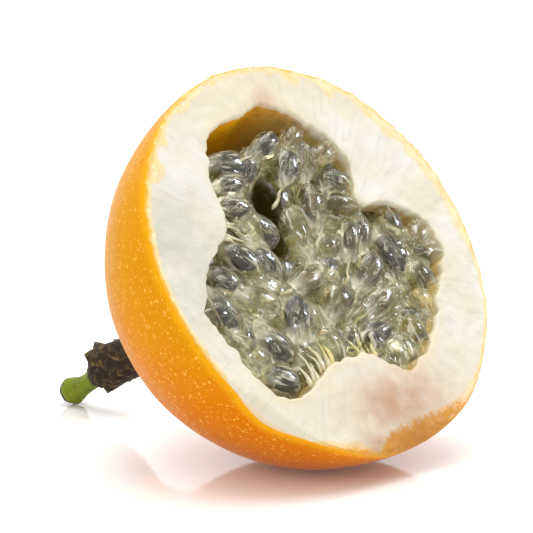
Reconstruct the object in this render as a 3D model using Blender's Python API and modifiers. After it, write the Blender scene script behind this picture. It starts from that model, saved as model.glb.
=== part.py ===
"""Half a sweet granadilla, the orange passion fruit: the stem half, cut across and leaning back on its stalk.

Four solids: the shell with its white pith, the pulp, the dried calyx and the green stalk. Metres, +Z up.
Two frames carry them. The face frame lies in the cut, with its Z out of the pulp and its Y up the face.
The axis frame has its Z along the fruit's own axis, out of the cut, so the stalk is on its -Z side.
"""

import math
import random

import bmesh
import bpy
from mathutils import Euler, Matrix, Vector, noise

MM = 0.001

# How the half lies: the face looks up this far, and the stalk runs down to the table at a lower slope
FACE_LIFT = math.radians(32.0)
STALK_SLOPE = math.radians(27.3)

# The round body, and how far its middle lies from the middle of the cut, in the face frame
RADIUS_ACROSS = 34.5 * MM
RADIUS_UP = 33.6 * MM
BODY_LENGTH = 34.2 * MM
BODY_SHIFT = Vector((0, 1.2 * MM, -0.7 * MM))
SPARE = 6 * MM
FOOT_SINK = 0.35 * MM

TURN_STEPS = 56
BODY_STEPS = 13

# The neck, where the body draws in to the stalk: its curve leaves the round at this angle up the body
NECK_LEAVES = math.radians(55)
NECK_END = 46.4 * MM
NECK_RADIUS = 3.2 * MM
NECK_PULL = 9.5 * MM
NECK_STEPS = 8

# The hollow: its edge in the face frame as angle in degrees and reach in mm, with three lobes
HOLLOW_EDGE = (
    (0, 26.8), (11, 25.2), (23, 20.6), (33, 15.8), (40, 16.8), (47, 20.8), (58, 23.6), (72, 25.7), (88, 27.9),
    (103, 27.2), (118, 27.5), (130, 24.4), (142, 21.0), (152, 18.9), (163, 21.0), (180, 26.2), (189, 28.8),
    (201, 27.9), (221, 28.6), (233, 25.6), (245, 18.4), (260, 16.2), (277, 16.0), (293, 21.5), (318, 22.6),
    (340, 23.6), (351, 25.8),
)
HOLLOW_DEPTH = 26.5 * MM
HOLLOW_ROUND = 0.62
HOLLOW_ABOVE = 7 * MM
HOLLOW_SHOULDER = math.radians(60)
HOLLOW_SIDES = 54
HOLLOW_RINGS = 22

# The cut and the pulp's bed are a little uneven
SLAB_GRAIN = 7.5 * MM
SLAB_STEPS = 20
CUT_WAVE = 0.35 * MM

# The cut rolls over at the low rim: where it starts below the middle, how deep it gets, and its half width
ROLL_START = 25.5 * MM
ROLL_DEPTH = 2.4 * MM
ROLL_WIDTH = 15 * MM
ROLL_ACROSS = 4 * MM

# The pulp keeps this far from the shell, and its bed lies this far under the cut
CLEAR = 0.35 * MM
BED_DEPTH = 4.4 * MM
BED_WAVE = 0.9 * MM

# Juice sacs that lead the arrangement, in the face frame: across, up, heading in degrees, length, width in mm
LEADING_SACS = (
    (-9.4, 19.8, -12, 10.5, 5.4), (-11.8, 16.0, -3, 9.0, 4.2), (-12.0, 12.4, -10, 8.5, 4.6),
    (-8.6, 9.0, -38, 10.5, 6.0), (-15.0, 4.4, -48, 9.5, 5.2), (-9.9, 3.6, -58, 9.5, 4.6),
    (-20.0, 1.4, -42, 8.0, 4.8), (-22.8, -3.6, -62, 11.0, 6.2), (-21.6, -11.0, -64, 10.5, 5.6),
    (-17.0, -16.4, -24, 8.5, 6.0), (-14.2, -10.4, -52, 9.5, 5.4), (-7.6, -7.4, 62, 10.5, 6.6),
    (2.2, -6.2, 38, 9.0, 5.8), (-2.4, -1.6, 12, 8.0, 4.8), (9.4, 3.4, 66, 8.0, 3.8),
    (12.6, 4.2, 68, 8.0, 3.8), (18.8, 1.0, -78, 11.5, 7.2), (23.2, -1.0, -76, 10.0, 5.4),
    (10.6, -2.6, 35, 8.5, 5.2),
    (10.4, -7.4, 22, 9.0, 4.8), (7.6, -12.4, 12, 8.5, 5.4), (10.6, 14.2, 38, 9.0, 5.4),
    (7.4, 17.6, 60, 8.0, 4.8), (2.8, 17.4, 48, 9.5, 5.2), (-1.0, 21.4, 20, 8.0, 4.0),
    (0.2, 6.6, 84, 11.0, 5.0), (4.6, 9.8, 74, 9.5, 5.2), (-15.0, -3.4, -28, 9.5, 5.4),
)
PLACENTAS = ((-19.0, 9.5), (14.5, 9.0), (-1.0, -18.0))
SAC_TOP = -0.5 * MM
SAC_FLATNESS = 0.86
SAC_TAPER = 0.28
SAC_SIDES = 8
SAC_RINGS = 6
SEED = 11

# The sacs that fill in: a shaken, staggered grid that keeps clear of the walls, clefts and leading sacs
FILL_PITCH = 5.3 * MM
FILL_ROWS = 6
FILL_STAGGER = 0.87
FILL_SHAKE = 0.9 * MM
FILL_LENGTH = 9.2 * MM
FILL_WIDTH = 5.2 * MM
FILL_LEVEL = -4.2 * MM
FILL_NEAREST = 4.5 * MM
WALL_ROOM = 2.6 * MM
CLEFT_ROOM = 1.2 * MM
SLIVER = 0.02 * MM

# Bare places in the pulp: middle across and up, half width and height, turn in degrees and depth, in mm
CLEFTS = (
    (-3.0, 9.4, 2.5, 6.8, -10, 12.0),
    (-1.5, 25.2, 13.5, 3.0, -2, 13.0),
)
CLEFT_SIDES = 14

# The dried calyx round the stalk's joint, in tiers: reach along the axis, radius in mm and raggedness.
# Its upper side is the more ragged.
CALYX = (
    (46.8, 2.4, 0.0), (47.1, 3.1, 0.04), (50.0, 3.7, 0.14), (50.3, 3.1, 0.05), (53.6, 3.9, 0.15),
    (53.9, 3.2, 0.05), (57.2, 3.7, 0.15), (58.3, 3.1, 0.08), (58.7, 1.9, 0.0),
)
CALYX_SIDES = 26
CALYX_TEETH = 5
CALYX_TIER = 4.0 * MM
TOOTH_SWAY = 3.0 * MM

# The green stalk: reach along the axis, lift off it and radius in mm; its far end lies on the table
STALK = (
    (59.1, -0.3, 1.9), (60.4, -0.55, 1.65), (62.4, -0.7, 1.6), (64.4, -0.7, 1.75), (66.2, -0.55, 2.15),
    (67.3, -0.34, 2.3),
)

SKIN = ("orange_skin", (0.87, 0.30, 0.01, 1), 0.35)
JELLY = ("pale_pulp", (0.42, 0.40, 0.26, 1), 0.15)
DRY = ("dry_calyx", (0.09, 0.05, 0.02, 1), 0.85)
GREEN = ("green_stalk", (0.20, 0.24, 0.02, 1), 0.55)


def clear_scene():
    for obj in list(bpy.data.objects):
        bpy.data.objects.remove(obj)


def collection(name):
    made = bpy.data.collections.new(name)
    bpy.context.scene.collection.children.link(made)
    return made


def material(recipe):
    name, colour, roughness = recipe
    made = bpy.data.materials.new(name)
    made.use_nodes = True
    shader = made.node_tree.nodes["Principled BSDF"]
    shader.inputs["Base Color"].default_value = colour
    shader.inputs["Roughness"].default_value = roughness
    shader.inputs["Metallic"].default_value = 0
    return made


def frame(name, place, turn, home):
    """An empty that carries pieces."""
    made = bpy.data.objects.new(name, None)
    made.rotation_euler = turn
    made.location = place
    home.objects.link(made)
    return made


def add(name, bm, home, parent, recipe=None):
    """A mesh object made from bm, in its parent's frame."""
    mesh = bpy.data.meshes.new(name)
    bm.to_mesh(mesh)
    bm.free()
    made = bpy.data.objects.new(name, mesh)
    made.parent = parent
    home.objects.link(made)
    if recipe:
        mesh.materials.append(material(recipe))
    return made


def as_cutter(obj):
    obj.hide_render = True
    obj.display_type = "WIRE"
    return obj


def cut(obj, cutter, operation="DIFFERENCE"):
    step = obj.modifiers.new(cutter.name, "BOOLEAN")
    step.object = cutter
    step.operation = operation
    step.solver = "EXACT"


def body_height():
    """How high the middle of the body stands over the table before its foot is flattened."""
    return math.hypot(RADIUS_UP * math.cos(STALK_SLOPE), BODY_LENGTH * math.sin(STALK_SLOPE))


def bezier(points, t):
    """A point of the cubic curve with these four handles."""
    a, b, c, d = (Vector(p) for p in points)
    s = 1 - t
    return a * s**3 + b * 3 * s * s * t + c * 3 * s * t * t + d * t**3


def body_profile():
    """The outer side as (radius, z), from past the cut to the end of the neck."""
    past_cut = math.asin(SPARE / BODY_LENGTH)
    round_part = []
    for i in range(BODY_STEPS + 1):
        turn = -past_cut + (NECK_LEAVES + past_cut) * i / BODY_STEPS
        round_part.append((RADIUS_ACROSS * math.cos(turn), -BODY_LENGTH * math.sin(turn)))
    leave = Vector((-RADIUS_ACROSS * math.sin(NECK_LEAVES), -BODY_LENGTH * math.cos(NECK_LEAVES)))
    start = Vector(round_part[-1])
    end = Vector((NECK_RADIUS, -NECK_END))
    handles = (start, start + leave.normalized() * NECK_PULL, end + Vector((0, NECK_PULL)), end)
    neck = [tuple(bezier(handles, i / NECK_STEPS)) for i in range(1, NECK_STEPS + 1)]
    return [(0, SPARE)] + round_part + neck + [(0, -NECK_END)]


def hollow_reach(angle):
    """The hollow's edge at this angle, on a smooth closed curve through HOLLOW_EDGE."""
    degrees = math.degrees(angle) % 360
    count = len(HOLLOW_EDGE)
    for i in range(count):
        here, after = HOLLOW_EDGE[i], HOLLOW_EDGE[(i + 1) % count]
        span = (after[0] - here[0]) % 360
        along = (degrees - here[0]) % 360
        if along < span:
            break
    before, beyond = HOLLOW_EDGE[i - 1], HOLLOW_EDGE[(i + 2) % count]
    slope_here = (after[1] - before[1]) / ((after[0] - before[0]) % 360)
    slope_after = (beyond[1] - here[1]) / ((beyond[0] - here[0]) % 360)
    t = along / span
    reach = (2 * t**3 - 3 * t**2 + 1) * here[1] + (3 * t**2 - 2 * t**3) * after[1]
    reach += span * ((t**3 - 2 * t**2 + t) * slope_here + (t**3 - t**2) * slope_after)
    return reach * MM


def hollow_solid(shrink):
    """The hollow's form, from over the cut down to its floor, taken in by shrink all round.

    A ball whose lower half becomes the bowl, and whose upper half is drawn out into straight walls.
    """
    bm = bmesh.new()
    bmesh.ops.create_uvsphere(bm, u_segments=HOLLOW_SIDES, v_segments=HOLLOW_RINGS, radius=1)
    mean = sum(reach for _, reach in HOLLOW_EDGE) / len(HOLLOW_EDGE) * MM
    for vert in bm.verts:
        angle = math.atan2(vert.co.y, vert.co.x)
        level = math.hypot(vert.co.x, vert.co.y)
        edge = hollow_reach(angle) - shrink
        if vert.co.z < 0:
            depth = -vert.co.z
            edge += (mean - shrink - edge) * depth * HOLLOW_ROUND
            height = -(HOLLOW_DEPTH - shrink) * depth
        else:
            level = min(1, level / math.cos(HOLLOW_SHOULDER))
            height = HOLLOW_ABOVE * min(1, vert.co.z / math.sin(HOLLOW_SHOULDER))
        vert.co = Vector((math.cos(angle) * edge * level, math.sin(angle) * edge * level, height))
    return bm


def cut_roll(place):
    """How far the cut drops below its plane here, where it rolls over the low rim."""
    past = max(0, -place.y - ROLL_START) / (RADIUS_UP - ROLL_START)
    return ROLL_DEPTH * past**2 * math.exp(-(((place.x - ROLL_ACROSS) / ROLL_WIDTH) ** 2))


def uneven_slab(level, wave, far):
    """A square slab between the far plane and an uneven side at level, which waves by up to this much."""
    bm = bmesh.new()
    bmesh.ops.create_grid(bm, x_segments=SLAB_STEPS, y_segments=SLAB_STEPS, size=RADIUS_ACROSS + SPARE)
    for vert in bm.verts:
        vert.co.z = level + wave * noise.noise(vert.co / SLAB_GRAIN) - cut_roll(vert.co)
    bmesh.ops.triangulate(bm, faces=bm.faces)
    pulled = bmesh.ops.extrude_face_region(bm, geom=bm.faces[:])
    for item in pulled["geom"]:
        if isinstance(item, bmesh.types.BMVert):
            item.co.z = far
    bmesh.ops.recalc_face_normals(bm, faces=bm.faces)
    return bm


def table_slab(level):
    """The table as a cutter, which flattens the foot."""
    bm = bmesh.new()
    size = 4 * RADIUS_ACROSS
    bmesh.ops.create_cube(bm, size=size, matrix=Matrix.Translation((0, 0, level - size / 2)))
    return bm


def make_shell(home, cutters, root, axis, face):
    """Rind and pith in one solid: a turned body, cut across, hollowed and flattened where it rests."""
    bm = bmesh.new()
    ring = [bm.verts.new((radius, 0, z)) for radius, z in body_profile()]
    for upper, lower in zip(ring, ring[1:]):
        bm.edges.new((upper, lower))
    shell = add("shell", bm, home, axis, SKIN)
    shell.scale = (1, RADIUS_UP / RADIUS_ACROSS, 1)
    turned = shell.modifiers.new("Turn", "SCREW")
    turned.steps = turned.render_steps = TURN_STEPS
    turned.use_merge_vertices = True
    turned.merge_threshold = 0.01 * MM
    turned.use_smooth_shade = True
    cut(shell, as_cutter(add("knife", uneven_slab(0, CUT_WAVE, 2 * RADIUS_ACROSS), cutters, face)))
    cut(shell, as_cutter(add("hollow", hollow_solid(0), cutters, face)))
    cut(shell, as_cutter(add("table", table_slab(0), cutters, root)))
    return shell


def nearest_placenta(place):
    return min((Vector(p) * MM for p in PLACENTAS), key=lambda p: (p - place).length)


def in_cleft(place, margin=0.0):
    for across, up, half_width, half_height, turn, _ in CLEFTS:
        offset = place - Vector((across, up)) * MM
        offset.rotate(Matrix.Rotation(-math.radians(turn), 2))
        if math.hypot(offset.x / (half_width * MM + margin), offset.y / (half_height * MM + margin)) < 1:
            return True
    return False


def sac_places():
    """Each juice sac as (middle, heading, dip, length, width): the leading ones, then those that fill in."""
    draw = random.Random(SEED)
    places = []
    for across, up, heading, length, width in LEADING_SACS:
        middle = Vector((across * MM, up * MM, SAC_TOP - width / 2 * MM + draw.uniform(-0.5, 0.5) * MM))
        dip = math.radians(draw.uniform(-12, 8))
        places.append((middle, math.radians(heading), dip, length * MM, width * MM))
    for row in range(-FILL_ROWS, FILL_ROWS + 1):
        for column in range(-FILL_ROWS, FILL_ROWS + 1):
            flat = Vector((column + 0.5 * (row % 2), row * FILL_STAGGER)) * FILL_PITCH
            flat += Vector((draw.uniform(-1, 1), draw.uniform(-1, 1))) * FILL_SHAKE
            turn, dip = draw.uniform(-0.4, 0.4), draw.uniform(-0.35, 0.2)
            length, width = FILL_LENGTH * draw.uniform(0.87, 1.14), FILL_WIDTH * draw.uniform(0.85, 1.1)
            level = FILL_LEVEL + draw.uniform(-0.75, 0.75) * MM
            wall = hollow_reach(math.atan2(flat.y, flat.x)) - WALL_ROOM
            if flat.length > wall or in_cleft(flat, CLEFT_ROOM):
                continue
            if any((flat - middle.xy).length < FILL_NEAREST for middle, *_ in places):
                continue
            away = flat - nearest_placenta(flat)
            heading = math.atan2(away.y, away.x) + turn
            places.append((Vector((flat.x, flat.y, level)), heading, dip, length, width))
    return places


def sac_solid(length, width):
    """One juice sac along X, thicker at its free end."""
    bm = bmesh.new()
    bmesh.ops.create_uvsphere(bm, u_segments=SAC_SIDES, v_segments=SAC_RINGS, radius=1)
    for vert in bm.verts:
        along = vert.co.z
        swell = (1 + SAC_TAPER * along) * width / 2
        vert.co = Vector((along * length / 2, vert.co.x * swell, vert.co.y * swell * SAC_FLATNESS))
    bmesh.ops.recalc_face_normals(bm, faces=bm.faces)
    return bm


def cleft_solid(across, up, half_width, half_height, turn, depth):
    """A ball drawn out into a bare place in the pulp."""
    bm = bmesh.new()
    bmesh.ops.create_uvsphere(bm, u_segments=CLEFT_SIDES, v_segments=CLEFT_SIDES // 2, radius=1)
    size = Matrix.Diagonal((half_width * MM, half_height * MM, depth * MM, 1))
    place = Matrix.Translation((across * MM, up * MM, 0)) @ Matrix.Rotation(math.radians(turn), 4, "Z")
    bmesh.ops.transform(bm, matrix=place @ size, verts=bm.verts)
    return bm


def keep_outer_skin(mesh):
    """Keeps the largest connected surface: pockets that fusing seals are filled, and loose scraps go."""
    bm = bmesh.new()
    bm.from_mesh(mesh)
    bmesh.ops.remove_doubles(bm, verts=bm.verts, dist=SLIVER)
    waiting, skins = set(bm.verts), []
    while waiting:
        skin, edge = set(), [waiting.pop()]
        while edge:
            vert = edge.pop()
            skin.add(vert)
            near = {link.other_vert(vert) for link in vert.link_edges} & waiting
            waiting -= near
            edge += near
        skins.append(skin)
    largest = max(skins, key=len)
    bmesh.ops.delete(bm, geom=[vert for vert in bm.verts if vert not in largest], context="VERTS")
    bm.to_mesh(mesh)
    bm.free()


def make_pulp(home, cutters, face):
    """The bed and the sacs fused on it, kept clear of the shell."""
    pulp = add("pulp", uneven_slab(-BED_DEPTH, BED_WAVE, -HOLLOW_DEPTH - BED_DEPTH), home, face, JELLY)
    for number, cleft in enumerate(CLEFTS):
        cut(pulp, as_cutter(add(f"cleft_{number}", cleft_solid(*cleft), cutters, face)))
    sacs = collection("sacs")
    for number, (middle, heading, dip, length, width) in enumerate(sac_places()):
        sac = add(f"sac_{number}", sac_solid(length, width), sacs, face)
        sac.location = middle
        sac.rotation_euler = Euler((0, -dip, heading))
    fuse = pulp.modifiers.new("Fuse", "BOOLEAN")
    fuse.operation = "UNION"
    fuse.solver = "EXACT"
    fuse.operand_type = "COLLECTION"
    fuse.collection = sacs
    cut(pulp, as_cutter(add("hollow_clear", hollow_solid(CLEAR), cutters, face)), "INTERSECT")
    bpy.context.view_layer.update()
    graph = bpy.context.evaluated_depsgraph_get()
    fused = bpy.data.meshes.new_from_object(pulp.evaluated_get(graph))
    pulp.modifiers.clear()
    keep_outer_skin(fused)
    pulp.data = fused
    for sac in list(sacs.objects):
        bpy.data.objects.remove(sac)
    bpy.data.collections.remove(sacs)
    return pulp


def make_calyx(home, axis):
    """The dried calyx: a turned cup in tiers, whose lips are ragged and pointed."""
    bm = bmesh.new()
    outline = [bm.verts.new((radius * MM, 0, -reach * MM)) for reach, radius, _ in CALYX]
    edges = [bm.edges.new(pair) for pair in zip(outline, outline[1:])]
    whole = {"cent": (0, 0, 0), "axis": (0, 0, 1), "angle": 2 * math.pi, "use_merge": True}
    bmesh.ops.spin(bm, geom=outline + edges, steps=CALYX_SIDES, **whole)
    for vert in bm.verts:
        ragged = min(CALYX, key=lambda row: abs(row[0] * MM + vert.co.z))[2]
        angle = math.atan2(vert.co.y, vert.co.x)
        tier = round(-vert.co.z / CALYX_TIER)
        wave = math.sin(CALYX_TEETH * angle + 1.7 * tier) + 0.6 * math.sin((CALYX_TEETH + 3) * angle - tier)
        ragged *= 0.55 + 0.45 * math.sin(angle)
        vert.co.xy *= 1 + ragged * wave
        vert.co.z -= ragged * wave * TOOTH_SWAY
    bmesh.ops.holes_fill(bm, edges=[edge for edge in bm.edges if edge.is_boundary], sides=0)
    bmesh.ops.recalc_face_normals(bm, faces=bm.faces)
    return add("calyx", bm, home, axis, DRY)


def make_stalk(home, axis):
    """The green stalk: a curve that swells at its cut end, which lies on the table."""
    curve = bpy.data.curves.new("stalk", "CURVE")
    curve.dimensions = "3D"
    curve.bevel_depth = MM
    curve.bevel_resolution = 4
    curve.use_fill_caps = True
    route = curve.splines.new("POLY")
    route.points.add(len(STALK) - 1)
    for point, (reach, lift, radius) in zip(route.points, STALK):
        point.co = (0, lift * MM, -reach * MM, 1)
        point.radius = radius
    curve.materials.append(material(GREEN))
    stalk = bpy.data.objects.new("stalk", curve)
    stalk.parent = axis
    home.objects.link(stalk)
    return stalk


def centre_on_origin(root, pieces):
    """Moves all so that the middle of their box stands over the origin."""
    bpy.context.view_layer.update()
    graph = bpy.context.evaluated_depsgraph_get()
    places = []
    for piece in pieces:
        evaluated = piece.evaluated_get(graph)
        mesh = evaluated.to_mesh()
        places += [evaluated.matrix_world @ vert.co for vert in mesh.vertices]
        evaluated.to_mesh_clear()
    for side in (0, 1):
        root.location[side] = -(min(p[side] for p in places) + max(p[side] for p in places)) / 2


def main():
    clear_scene()
    home = collection("passion_fruit_half")
    cutters = collection("cutters")
    root = frame("place", (0, 0, 0), (0, 0, 0), home)
    middle = (0, 0, body_height() - FOOT_SINK)
    axis = frame("fruit_axis", middle, (math.pi / 2 - STALK_SLOPE, 0, 0), home)
    axis.parent = root
    face_turn = Euler((math.pi / 2 - FACE_LIFT, 0, 0))
    face_place = Vector(middle) - face_turn.to_matrix() @ BODY_SHIFT
    face = frame("cut_face", face_place, face_turn, home)
    face.parent = root
    shell = make_shell(home, cutters, root, axis, face)
    pulp = make_pulp(home, cutters, face)
    calyx = make_calyx(home, axis)
    stalk = make_stalk(home, axis)
    centre_on_origin(root, (shell, pulp, calyx, stalk))


main()
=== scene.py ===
"""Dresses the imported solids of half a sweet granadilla, the orange passion fruit, for a render.

The shell becomes freckled rind over spongy pith, the pulp becomes clear juice sacs round dark seeds, and
the dried calyx gets its scales. Metres, +Z up. Two frames carry the pieces, as in the part's source: the
face frame lies in the cut, with its Z out of the pulp and its Y up the face, and the axis frame has its Z
along the fruit's axis, out of the cut. Face-frame sizes in tables are in mm.
"""

import functools
import math
import random

import bmesh
import bpy
from bpy.props import FloatProperty, FloatVectorProperty, PointerProperty
from mathutils import Euler, Matrix, Vector, kdtree, noise


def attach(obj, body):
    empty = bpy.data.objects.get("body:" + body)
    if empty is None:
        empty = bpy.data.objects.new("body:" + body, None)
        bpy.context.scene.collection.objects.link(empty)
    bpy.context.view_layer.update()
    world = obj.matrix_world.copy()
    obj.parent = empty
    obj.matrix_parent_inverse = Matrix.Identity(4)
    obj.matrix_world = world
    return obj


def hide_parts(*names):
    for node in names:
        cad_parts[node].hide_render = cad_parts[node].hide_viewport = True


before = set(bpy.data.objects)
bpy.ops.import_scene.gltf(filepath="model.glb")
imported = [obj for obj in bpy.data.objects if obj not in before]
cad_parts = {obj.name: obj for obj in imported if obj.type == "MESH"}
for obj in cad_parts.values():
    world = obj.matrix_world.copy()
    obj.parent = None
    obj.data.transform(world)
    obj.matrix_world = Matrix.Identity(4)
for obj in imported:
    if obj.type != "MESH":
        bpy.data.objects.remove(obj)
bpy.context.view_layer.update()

bl_info = {
    "name": "Passion fruit half",
    "version": (1, 0, 0),
    "blender": (4, 5, 0),
    "location": "3D View > Sidebar > Fruit",
    "description": "Rind, pith, juice sacs, seeds, calyx and stalk for half a sweet granadilla",
    "category": "Add Mesh",
}

MM = 0.001
BODY = "root"

# How the half lies, as in the part's source
FACE_LIFT = math.radians(32.0)
STALK_SLOPE = math.radians(27.3)
BODY_MIDDLE = Vector((0, -21.456, 33.377)) * MM
BODY_SHIFT = Vector((0, 1.2, -0.7)) * MM
FACE_TURN = Euler((math.pi / 2 - FACE_LIFT, 0, 0)).to_matrix().to_4x4()
AXIS = Matrix.Translation(BODY_MIDDLE) @ Euler((math.pi / 2 - STALK_SLOPE, 0, 0)).to_matrix().to_4x4()
FACE = Matrix.Translation(BODY_MIDDLE - FACE_TURN.to_3x3() @ BODY_SHIFT) @ FACE_TURN
AXIS_TO_FACE = FACE.inverted() @ AXIS

# The body and the neck
RADIUS_ACROSS = 34.5 * MM
RADIUS_UP = 33.6 * MM
BODY_LENGTH = 34.2 * MM
NECK_LEAVES = math.radians(55)
NECK_END = 46.4 * MM
NECK_RADIUS = 3.2 * MM
NECK_PULL = 9.5 * MM

# The hollow's edge in the face frame as angle in degrees and reach in mm, and its depth
HOLLOW_EDGE = (
    (0, 26.8), (11, 25.2), (23, 20.6), (33, 15.8), (40, 16.8), (47, 20.8), (58, 23.6), (72, 25.7), (88, 27.9),
    (103, 27.2), (118, 27.5), (130, 24.4), (142, 21.0), (152, 18.9), (163, 21.0), (180, 26.2), (189, 28.8),
    (201, 27.9), (221, 28.6), (233, 25.6), (245, 18.4), (260, 16.2), (277, 16.0), (293, 21.5), (318, 22.6),
    (340, 23.6), (351, 25.8),
)
HOLLOW_DEPTH = 26.5 * MM
HOLLOW_ROUND = 0.62

# The cut: how it waves, and where it rolls over the low rim
CUT_GRAIN = 7.5 * MM
CUT_WAVE = 0.35 * MM
ROLL_START = 25.5 * MM
ROLL_DEPTH = 2.4 * MM
ROLL_WIDTH = 15 * MM
ROLL_ACROSS = 4 * MM
ROLL_BAND = (-21.5 * MM, -31 * MM)
ROLL_BAND_MIDDLE = 6 * MM
ROLL_BAND_WIDTH = 13 * MM

# Marks on the cut, in the face frame. A span runs from where a mark begins to where it is full
RIM_BUMP_SPAN = (1.6 * MM, 0)
RIM_BUMP_UP = (0, 14 * MM)
BLOTCH_GRAIN = 3.6 * MM
BLOTCH_NOISE = (-0.1, 0.45)
BLOTCH_UP = (2 * MM, 20 * MM)
BLOTCH_WIDTH = 1.7 * MM
SUNNY_ACROSS = (14 * MM, 28 * MM)
SUNNY_UP = (-8 * MM, 4 * MM)
SUNNY_WIDTH = 1.3 * MM
# A tan patch of painted shade low on the right of the cut, as its place and size
SHADE_PATCH_AT = Vector((3.6, -24.6)) * MM
SHADE_PATCH_SIZE = (10.5 * MM, 4.9 * MM)
WARM_TOP = (20 * MM, 32 * MM)
WARM_LIP = (3 * MM, 0)
WARM_LOW = (-10 * MM, -24 * MM)
WARM_STRENGTHS = (0.7, 0.5, 0.45)
# Painted shade: the pith turns greyer towards the left, within these spans across and up
SHADE_LEFT_ACROSS = (-12 * MM, -27 * MM)
SHADE_LEFT_TOP = (24 * MM, 8 * MM)
SHADE_LEFT_FOOT = (-13 * MM, 2 * MM)
RECESS_UP = (14 * MM, 19 * MM)
RECESS_ACROSS = (12 * MM, 5 * MM)
FIBRES_ROUND = 30
FIBRE_LENGTH = 6 * MM

# Where the knife pared the skin off beside the cut, as an angle of the face and the width that it bared;
# and where the rolled band is torn down to the pith, as a place on the face and its size
PARED_AT = math.radians(223)
PARED_SPREAD = math.radians(11)
PARED = 2.4 * MM
PARED_ON_SKIN = 0.45
PARED_ON_CUT = 0.8
PARED_SHARE = 2.5 / MM
TORN_AT = Vector((-4.5, -31.0)) * MM
TORN_SIZE = 2.4 * MM
TORN_SHARE = 0.8
TORN_TAN = 0.6

# A stained place on the pith above the hollow
STAIN_AT = Vector((1.6, 28.9)) * MM
STAIN_SIZE = 2.1 * MM
STAIN_STRENGTH = 0.7

# Rings and steps of the shell's mesh
AROUND = 320
NECK_RINGS = 20
SKIN_RINGS = 44
FACE_RINGS = 30
WALL_RINGS = 24
WALL_CROWDING = 1.6
NEARLY_POLE = math.radians(88)
NECK_FIRST_RING = 0.2

# The lowest lean and latitude that a search by halving starts from, and its steps
LEAN_LEAST = math.radians(-35)
SHORE_LOWEST = math.radians(70)
SEARCH_STEPS = 24

# Unevenness of the real surfaces: how far it moves them and how wide its grain is
SKIN_DENT = 0.22 * MM
SKIN_DENT_GRAIN = 13 * MM
PITH_RELIEF = 0.16 * MM
PITH_GRAIN = 1.9 * MM
EDGE_TEAR = 0.22 * MM
EDGE_TEAR_GRAIN = 1.3 * MM
RIM_BUMP = 0.45 * MM
RIM_BUMP_GRAIN = 1.5 * MM

# The edges of the cut: the hollow's worn lip with its crumbled line, and the rim with its round edge
HOLLOW_LIP = 0.55 * MM
LIP_CRUMBLE = 0.75 * MM
LIP_GRAIN = 2.6 * MM
LIP_FINER = 2.3
LIP_FADE = 4
RIM_ROUND = 0.22 * MM
RIM_START = 1.5 * RIM_ROUND
EDGE_TEAR_SPAN = (4 * RIM_ROUND, 0)
RIM_CURVE = 1.6
RIM_SPREAD = 0.6

# The pulp's bed, its lumps of deeper sacs and its bare places, as in the part's source. A bare place is its
# middle across and up, half width and half height in mm, turn in degrees and depth in mm
BED_DEPTH = 4.4 * MM
BED_WAVE = 0.9 * MM
BED_GAP = 0.12 * MM
BED_RINGS = 40
BED_SIDES = 216
LUMP_GRAIN = 4.6 * MM
LUMP_HEIGHT = 1.5 * MM
LUMP_MIDDLE = 0.35
CLEFTS = (
    (-3.0, 10.0, 3.0, 6.8, -10, 9.0),
    (-5.0, 25.2, 11.3, 3.3, -2, 9.0),
)
CLEFT_MARGIN = 1.2 * MM
# Painted shade comes in over the clefts between these shares
CLEFT_SHADE_SPAN = (0.1, 0.6)

# Juice sacs that lead the arrangement: across, up, heading in degrees, length, width, and how dark and
# near their seed shows, from 0 for a sac that is all clear jelly. They are drawn a little up or down, in mm,
# and dip by some degrees
LEADING_SACS = (
    (-9.4, 19.8, -12, 10.5, 5.4, 1.0), (-11.8, 16.0, -3, 9.0, 4.2, 0.9), (-12.0, 12.4, -10, 8.5, 4.6, 0.5),
    (-8.6, 9.0, -38, 10.5, 6.0, 0.0), (-15.0, 4.4, -48, 9.5, 5.2, 0.8), (-9.9, 3.6, -58, 9.5, 4.6, 0.7),
    (-20.0, 1.4, -42, 8.0, 4.8, 0.8), (-22.8, -3.6, -62, 11.0, 6.2, 1.0), (-21.6, -11.0, -64, 10.5, 5.6, 0.0),
    (-17.0, -16.4, -24, 8.5, 6.0, 1.0), (-14.2, -10.4, -52, 9.5, 5.4, 0.4), (-7.6, -7.4, 62, 10.5, 6.6, 1.0),
    (2.2, -6.2, 38, 9.0, 5.8, 0.5), (-2.4, -1.6, 12, 8.0, 4.8, 0.4), (9.4, 3.4, 66, 8.0, 3.8, 0.6),
    (12.6, 4.2, 68, 8.0, 3.8, 0.6), (18.8, 1.0, -78, 11.5, 7.2, 1.0), (23.2, -1.0, -76, 10.0, 5.4, 0.0),
    (10.6, -2.6, 35, 8.5, 5.2, 0.4),
    (10.4, -7.4, 22, 9.0, 4.8, 0.5), (7.6, -12.4, 12, 8.5, 5.4, 0.8), (10.6, 14.2, 38, 9.0, 5.4, 0.9),
    (7.4, 17.6, 60, 8.0, 4.8, 0.4), (2.8, 17.4, 48, 9.5, 5.2, 0.8), (-1.0, 21.4, 20, 8.0, 4.0, 0.7),
    (0.2, 6.6, 84, 11.0, 5.0, 0.0), (4.6, 9.8, 74, 9.5, 5.2, 0.4), (-15.0, -3.4, -28, 9.5, 5.4, 0.0),
)
LEADING_LIFT = (-0.5, 0.5)
LEADING_DIP = (-12, 8)

# Where the sacs hang from, in the face frame and in mm
PLACENTAS = ((-19.0, 9.5), (14.5, 9.0), (-1.0, -18.0))

# What the random draws start from, for the sacs' places and for their looks
SEED = 11
LOOKS_SEED = 29

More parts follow.
